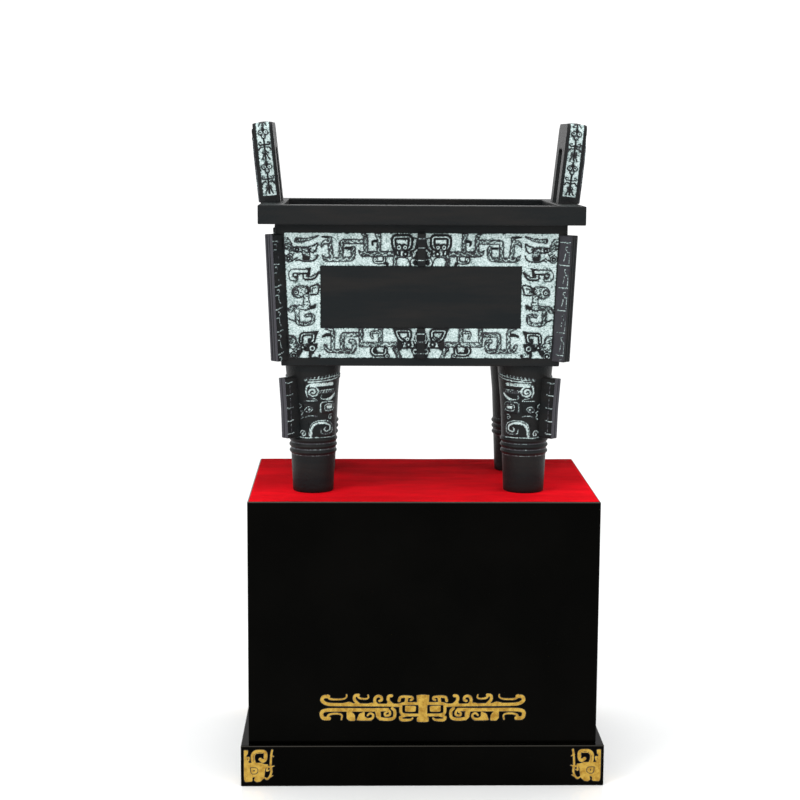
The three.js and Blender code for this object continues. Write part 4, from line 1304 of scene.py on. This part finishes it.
def board_box(node, x_ticks, y_ticks, heights, closed_top, paint):
    """A hollow box of boards, open below, whose outside is painted, with a painted highlight along its top
    edge.
    """
    half_x, half_y, bottom, top = box_size(node)
    half = np.array([half_x, half_y])
    near = [(x, -half_y) for x in x_ticks] + [(half_x, y) for y in y_ticks]
    side = np.array(near + [(-x, -y) for x, y in near])
    inner = side * ((half - BOARD) / half)
    ends = side * ((half - BOX_ROUND) / half)
    loops = [(inner, top - BOARD)] if closed_top else [(ends, top), (inner, top)]
    loops += [(inner, bottom), (ends, bottom)]
    loops += [(side, height) for height in heights]
    loops += [(ends, top)]
    points = np.array([np.column_stack([loop, np.full(len(loop), height)]) for loop, height in loops])
    share = np.zeros(points.shape[:2])
    painted = slice(-1 - len(heights), -1)
    share[painted] = paint(*np.moveaxis(points[painted], -1, 0))
    # Painted highlight along the top edge
    share[-2:] = PAINTED_EDGE_HIGHLIGHT
    if not closed_top:
        points, share = points[:-1], share[:-1]
    piece = closed_grid(f"{node}_lacquered", points, share, IN_METRES, "lacquer", closed_top)
    piece.data.shade_flat()
    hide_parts(node)


def plinth_box_piece():
    half_x, half_y, bottom, top = box_size("plinth_box")
    motif = GOLD_HALF_WIDTH * GOLD_UNIT
    motif_top = bottom + GOLD_BOTTOM + GOLD_HEIGHT * GOLD_UNIT
    run_x, run_y = half_x - BOX_ROUND, half_y - BOX_ROUND
    first, last = bottom + BOX_ROUND, top - BOX_ROUND
    low = first + GOLD_BOTTOM - GOLD_MARGIN
    high = motif_top + BOX_ROUND + GOLD_MARGIN
    heights = ticks(
        (first, low, BOX_FOOT_STEP), (low, high, GOLD_STEP), (high, last - EDGE_HIGHLIGHT_RUN, BOX_STEP),
        (last - EDGE_HIGHLIGHT_RUN, last, 1),
    )

    def paint(x, y, z):
        on_long = np.abs(np.abs(y) - half_y) < ON_FACE
        u = np.where(on_long, np.abs(x) / GOLD_UNIT, FAR)
        return gold_share(GOLD_MASK, [], u, (motif_top - z) / GOLD_UNIT, GOLD_UNIT)

    x_ticks = ticks((-run_x, -motif, BOX_STEP), (-motif, motif, GOLD_STEP), (motif, run_x, BOX_STEP))
    board_box("plinth_box", x_ticks, ticks((-run_y, run_y, BOX_STEP)), heights, True, paint)


def plinth_base_piece():
    half_x, half_y, bottom, top = box_size("plinth_base")
    width = GOLD_CORNER_WIDTH * GOLD_CORNER_UNIT + GOLD_CORNER_GAP

    def along(half):
        run = half - BOX_ROUND
        plain = run - width
        return ticks((-run, -plain, GOLD_STEP), (-plain, plain, BASE_STEP), (plain, run, GOLD_STEP))

    def paint(x, y, z):
        on_long = np.abs(np.abs(y) - half_y) < ON_FACE
        from_corner = np.where(on_long, half_x - np.abs(x), half_y - np.abs(y)) - GOLD_CORNER_GAP
        v = (top - GOLD_CORNER_TOP - z) / GOLD_CORNER_UNIT
        return gold_share(GOLD_CORNER, GOLD_CORNER_CUT, from_corner / GOLD_CORNER_UNIT, v, GOLD_CORNER_UNIT)

    heights = ticks((bottom + BOX_ROUND, top - BOX_ROUND, GOLD_STEP))
    board_box("plinth_base", along(half_x), along(half_y), heights, False, paint)


# The cloth's faint waves: their height, and the run of one along x and along y
CLOTH_WAVES = ((0.12, 31, 47), (0.1, 17, -23))
CLOTH_DROP = 0.25
CLOTH_EDGE_DROP = 0.35
CLOTH_EDGE_RUN = 6
CLOTH_THICKNESS = 0.8


def velvet_piece():
    """The cloth on the plinth: flat, with a faint wave and a soft edge."""
    half_x, half_y, _, top = box_size("velvet_cover")
    x, y = np.meshgrid(ticks((-half_x, half_x, CLOTH_STEP)), ticks((-half_y, half_y, CLOTH_STEP)))
    inward = np.minimum(half_x - np.abs(x), half_y - np.abs(y))
    wave = sum(height * np.sin(x / run_x + y / run_y) for height, run_x, run_y in CLOTH_WAVES)
    z = top - CLOTH_DROP + wave - CLOTH_EDGE_DROP * (1 - smooth(inward, 0, CLOTH_EDGE_RUN))
    points = np.stack([x, y, z], -1)
    quads = quads_of(grid_numbers(points)).reshape(-1, 4)
    piece = make_mesh("velvet", points, [quads], None, IN_METRES, "velvet")
    thick = piece.modifiers.new("thickness", "SOLIDIFY")
    thick.thickness = CLOTH_THICKNESS * MM
    thick.offset = -1
    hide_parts("velvet_cover")


# Vessel
FINE_STEP = 1.0
PLAIN_STEP = 1.25
SHORT_STRETCH = 0.74
vessel_shell()
for name, top_length, top_half, turn, step, stretch in (
    ("relief_front", BODY_LENGTH, BODY_DEPTH / 2, 0, FINE_STEP, 1),
    ("relief_back", BODY_LENGTH, BODY_DEPTH / 2, math.pi, PLAIN_STEP, 1),
    ("relief_right", BODY_DEPTH, BODY_LENGTH / 2, math.pi / 2, PLAIN_STEP, SHORT_STRETCH),
    ("relief_left", BODY_DEPTH, BODY_LENGTH / 2, -math.pi / 2, PLAIN_STEP, SHORT_STRETCH),
):
    relief_panel(name, top_length, turn, top_half, step, stretch)

side_lean = Matrix.Rotation(-math.pi / 2, 4, "Z")
for side_name, turn, top_half in (
    ("front", 0, BODY_DEPTH / 2), ("right", math.pi / 2, BODY_LENGTH / 2),
    ("back", math.pi, BODY_DEPTH / 2), ("left", -math.pi / 2, BODY_LENGTH / 2),
):
    for band, bottom, top in (
        ("upper", BODY_HEIGHT - UPPER_BAND_HEIGHT, BODY_HEIGHT),
        ("lower", PLAIN_FOOT, PLAIN_FOOT + LOWER_BAND_HEIGHT),
    ):
        foot = top_half - BODY_TAPER
        rib_piece(
            f"middle_rib_{side_name}_{band}", ding_place(turn, 0, 0, LEG_HEIGHT, side_lean),
            MIDDLE_RIB_THICKNESS, foot - PANEL_SINK,
            lambda z, foot=foot: foot + z * BODY_SLOPE + MIDDLE_RIB_REACH,
            bottom, top, PLAIN_TONES, functools.partial(middle_rib_marks, bottom, top),
        )

for x_name, sign_x in (("left", -1), ("right", 1)):
    for y_name, sign_y in (("front", -1), ("back", 1)):
        turn = math.atan2(sign_y, sign_x)
        foot_x = sign_x * (BODY_LENGTH / 2 - BODY_TAPER)
        foot_y = sign_y * (BODY_DEPTH / 2 - BODY_TAPER)
        tones, top_marks, other_marks = CORNER_RIB_LOOKS[x_name]
        rib_piece(
            f"corner_rib_{y_name}_{x_name}", ding_place(turn, foot_x, foot_y, LEG_HEIGHT),
            CORNER_RIB_THICKNESS, -WALL,
            lambda z: CORNER_RIB_REACH + z * BODY_SLOPE * math.sqrt(2),
            CORNER_RIB_BOTTOM, BODY_HEIGHT - CORNER_RIB_TOP_GAP,
            tones, functools.partial(corner_rib_marks, top_marks, other_marks),
        )
        leg_place = ding_place(turn, foot_x - sign_x * LEG_INSET_X, foot_y - sign_y * LEG_INSET_Y)
        leg_piece(f"leg_{y_name}_{x_name}", leg_place)
        # The leg's rib has a painted highlight on its edge and corners
        rib_piece(
            f"leg_rib_{y_name}_{x_name}", leg_place, LEG_RIB_THICKNESS, LEG_FOOT_RADIUS - PANEL_SINK,
            lambda z: leg_radius(z) + LEG_RIB_REACH,
            LEG_RIB_BOTTOM, LEG_RIB_TOP, PAINTED_HIGHLIGHT_TONES, leg_rib_marks,
        )

for ear_name, side in (("left", -1), ("right", 1)):
    ear_piece(f"ear_{ear_name}", ear_place(side))

plinth_box_piece()
plinth_base_piece()
velvet_piece()


# Floor, lamps and camera, in metres
FLOOR_REACH = 12
WORLD_STRENGTH = 1.14
SOFTBOXES = (
    ("key", (-2.2, -2.4, 2.6), (0, 0, 0.8), (1.6, 1.6), 52),
    ("fill", (2.6, -1.8, 1.8), (0, 0, 0.8), (1.6, 2.0), 14),
    ("top", (0.2, -0.4, 3.4), (0, 0, 0.6), (2.0, 1.4), 26),
)


def add_item(name, data):
    item = bpy.data.objects.new(name, data)
    bpy.context.scene.collection.objects.link(item)
    return item


def add_floor():
    mesh = bpy.data.meshes.new("floor")
    corners = [(-1, -1), (1, -1), (1, 1), (-1, 1)]
    mesh.from_pydata([(x * FLOOR_REACH, y * FLOOR_REACH, 0) for x, y in corners], [], [(0, 1, 2, 3)])
    mesh.materials.append(floor_material())
    add_item("floor", mesh)


def add_softbox(name, place, target, size, power):
    lamp = bpy.data.lights.new(name, "AREA")
    lamp.shape = "RECTANGLE"
    lamp.size, lamp.size_y = size
    lamp.energy = power
    item = add_item(name, lamp)
    item.location = place
    item.rotation_euler = (Vector(target) - Vector(place)).to_track_quat("-Z", "Y").to_euler()


def add_world():
    world = bpy.data.worlds.new("studio")
    world.use_nodes = True
    background = world.node_tree.nodes["Background"]
    background.inputs["Color"].default_value = (1, 1, 1, 1)
    background.inputs["Strength"].default_value = WORLD_STRENGTH
    bpy.context.scene.world = world
    bpy.context.scene.view_settings.view_transform = "Standard"


# Camera, fitted to the photograph: place in metres, angles in radians and focal length in pixels
CAMERA_PLACE = (-0.1140, -3.1626, 1.1063)
CAMERA_YAW = 0.0241
CAMERA_PITCH = 0.1446
CAMERA_ROLL = -0.0058
FOCAL_PIXELS = 1768.3
FRAME_PIXELS = 800
SENSOR_WIDTH = 36


def add_camera():
    yaw, pitch, roll = CAMERA_YAW, CAMERA_PITCH, CAMERA_ROLL
    forward = Vector((math.sin(yaw) * math.cos(pitch), math.cos(yaw) * math.cos(pitch), -math.sin(pitch)))
    right = Vector((math.cos(yaw), -math.sin(yaw), 0))
    down = forward.cross(right)
    turned_right = math.cos(roll) * right + math.sin(roll) * down
    turned_down = -math.sin(roll) * right + math.cos(roll) * down
    data = bpy.data.cameras.new("camera")
    data.sensor_width = SENSOR_WIDTH
    data.lens = FOCAL_PIXELS / FRAME_PIXELS * SENSOR_WIDTH
    camera = add_item("camera", data)
    axes = Matrix((turned_right, -turned_down, -forward)).transposed()
    camera.matrix_world = Matrix.Translation(CAMERA_PLACE) @ axes.to_4x4()
    bpy.context.scene.camera = camera


add_floor()
add_world()
for softbox in SOFTBOXES:
    add_softbox(*softbox)
add_camera()
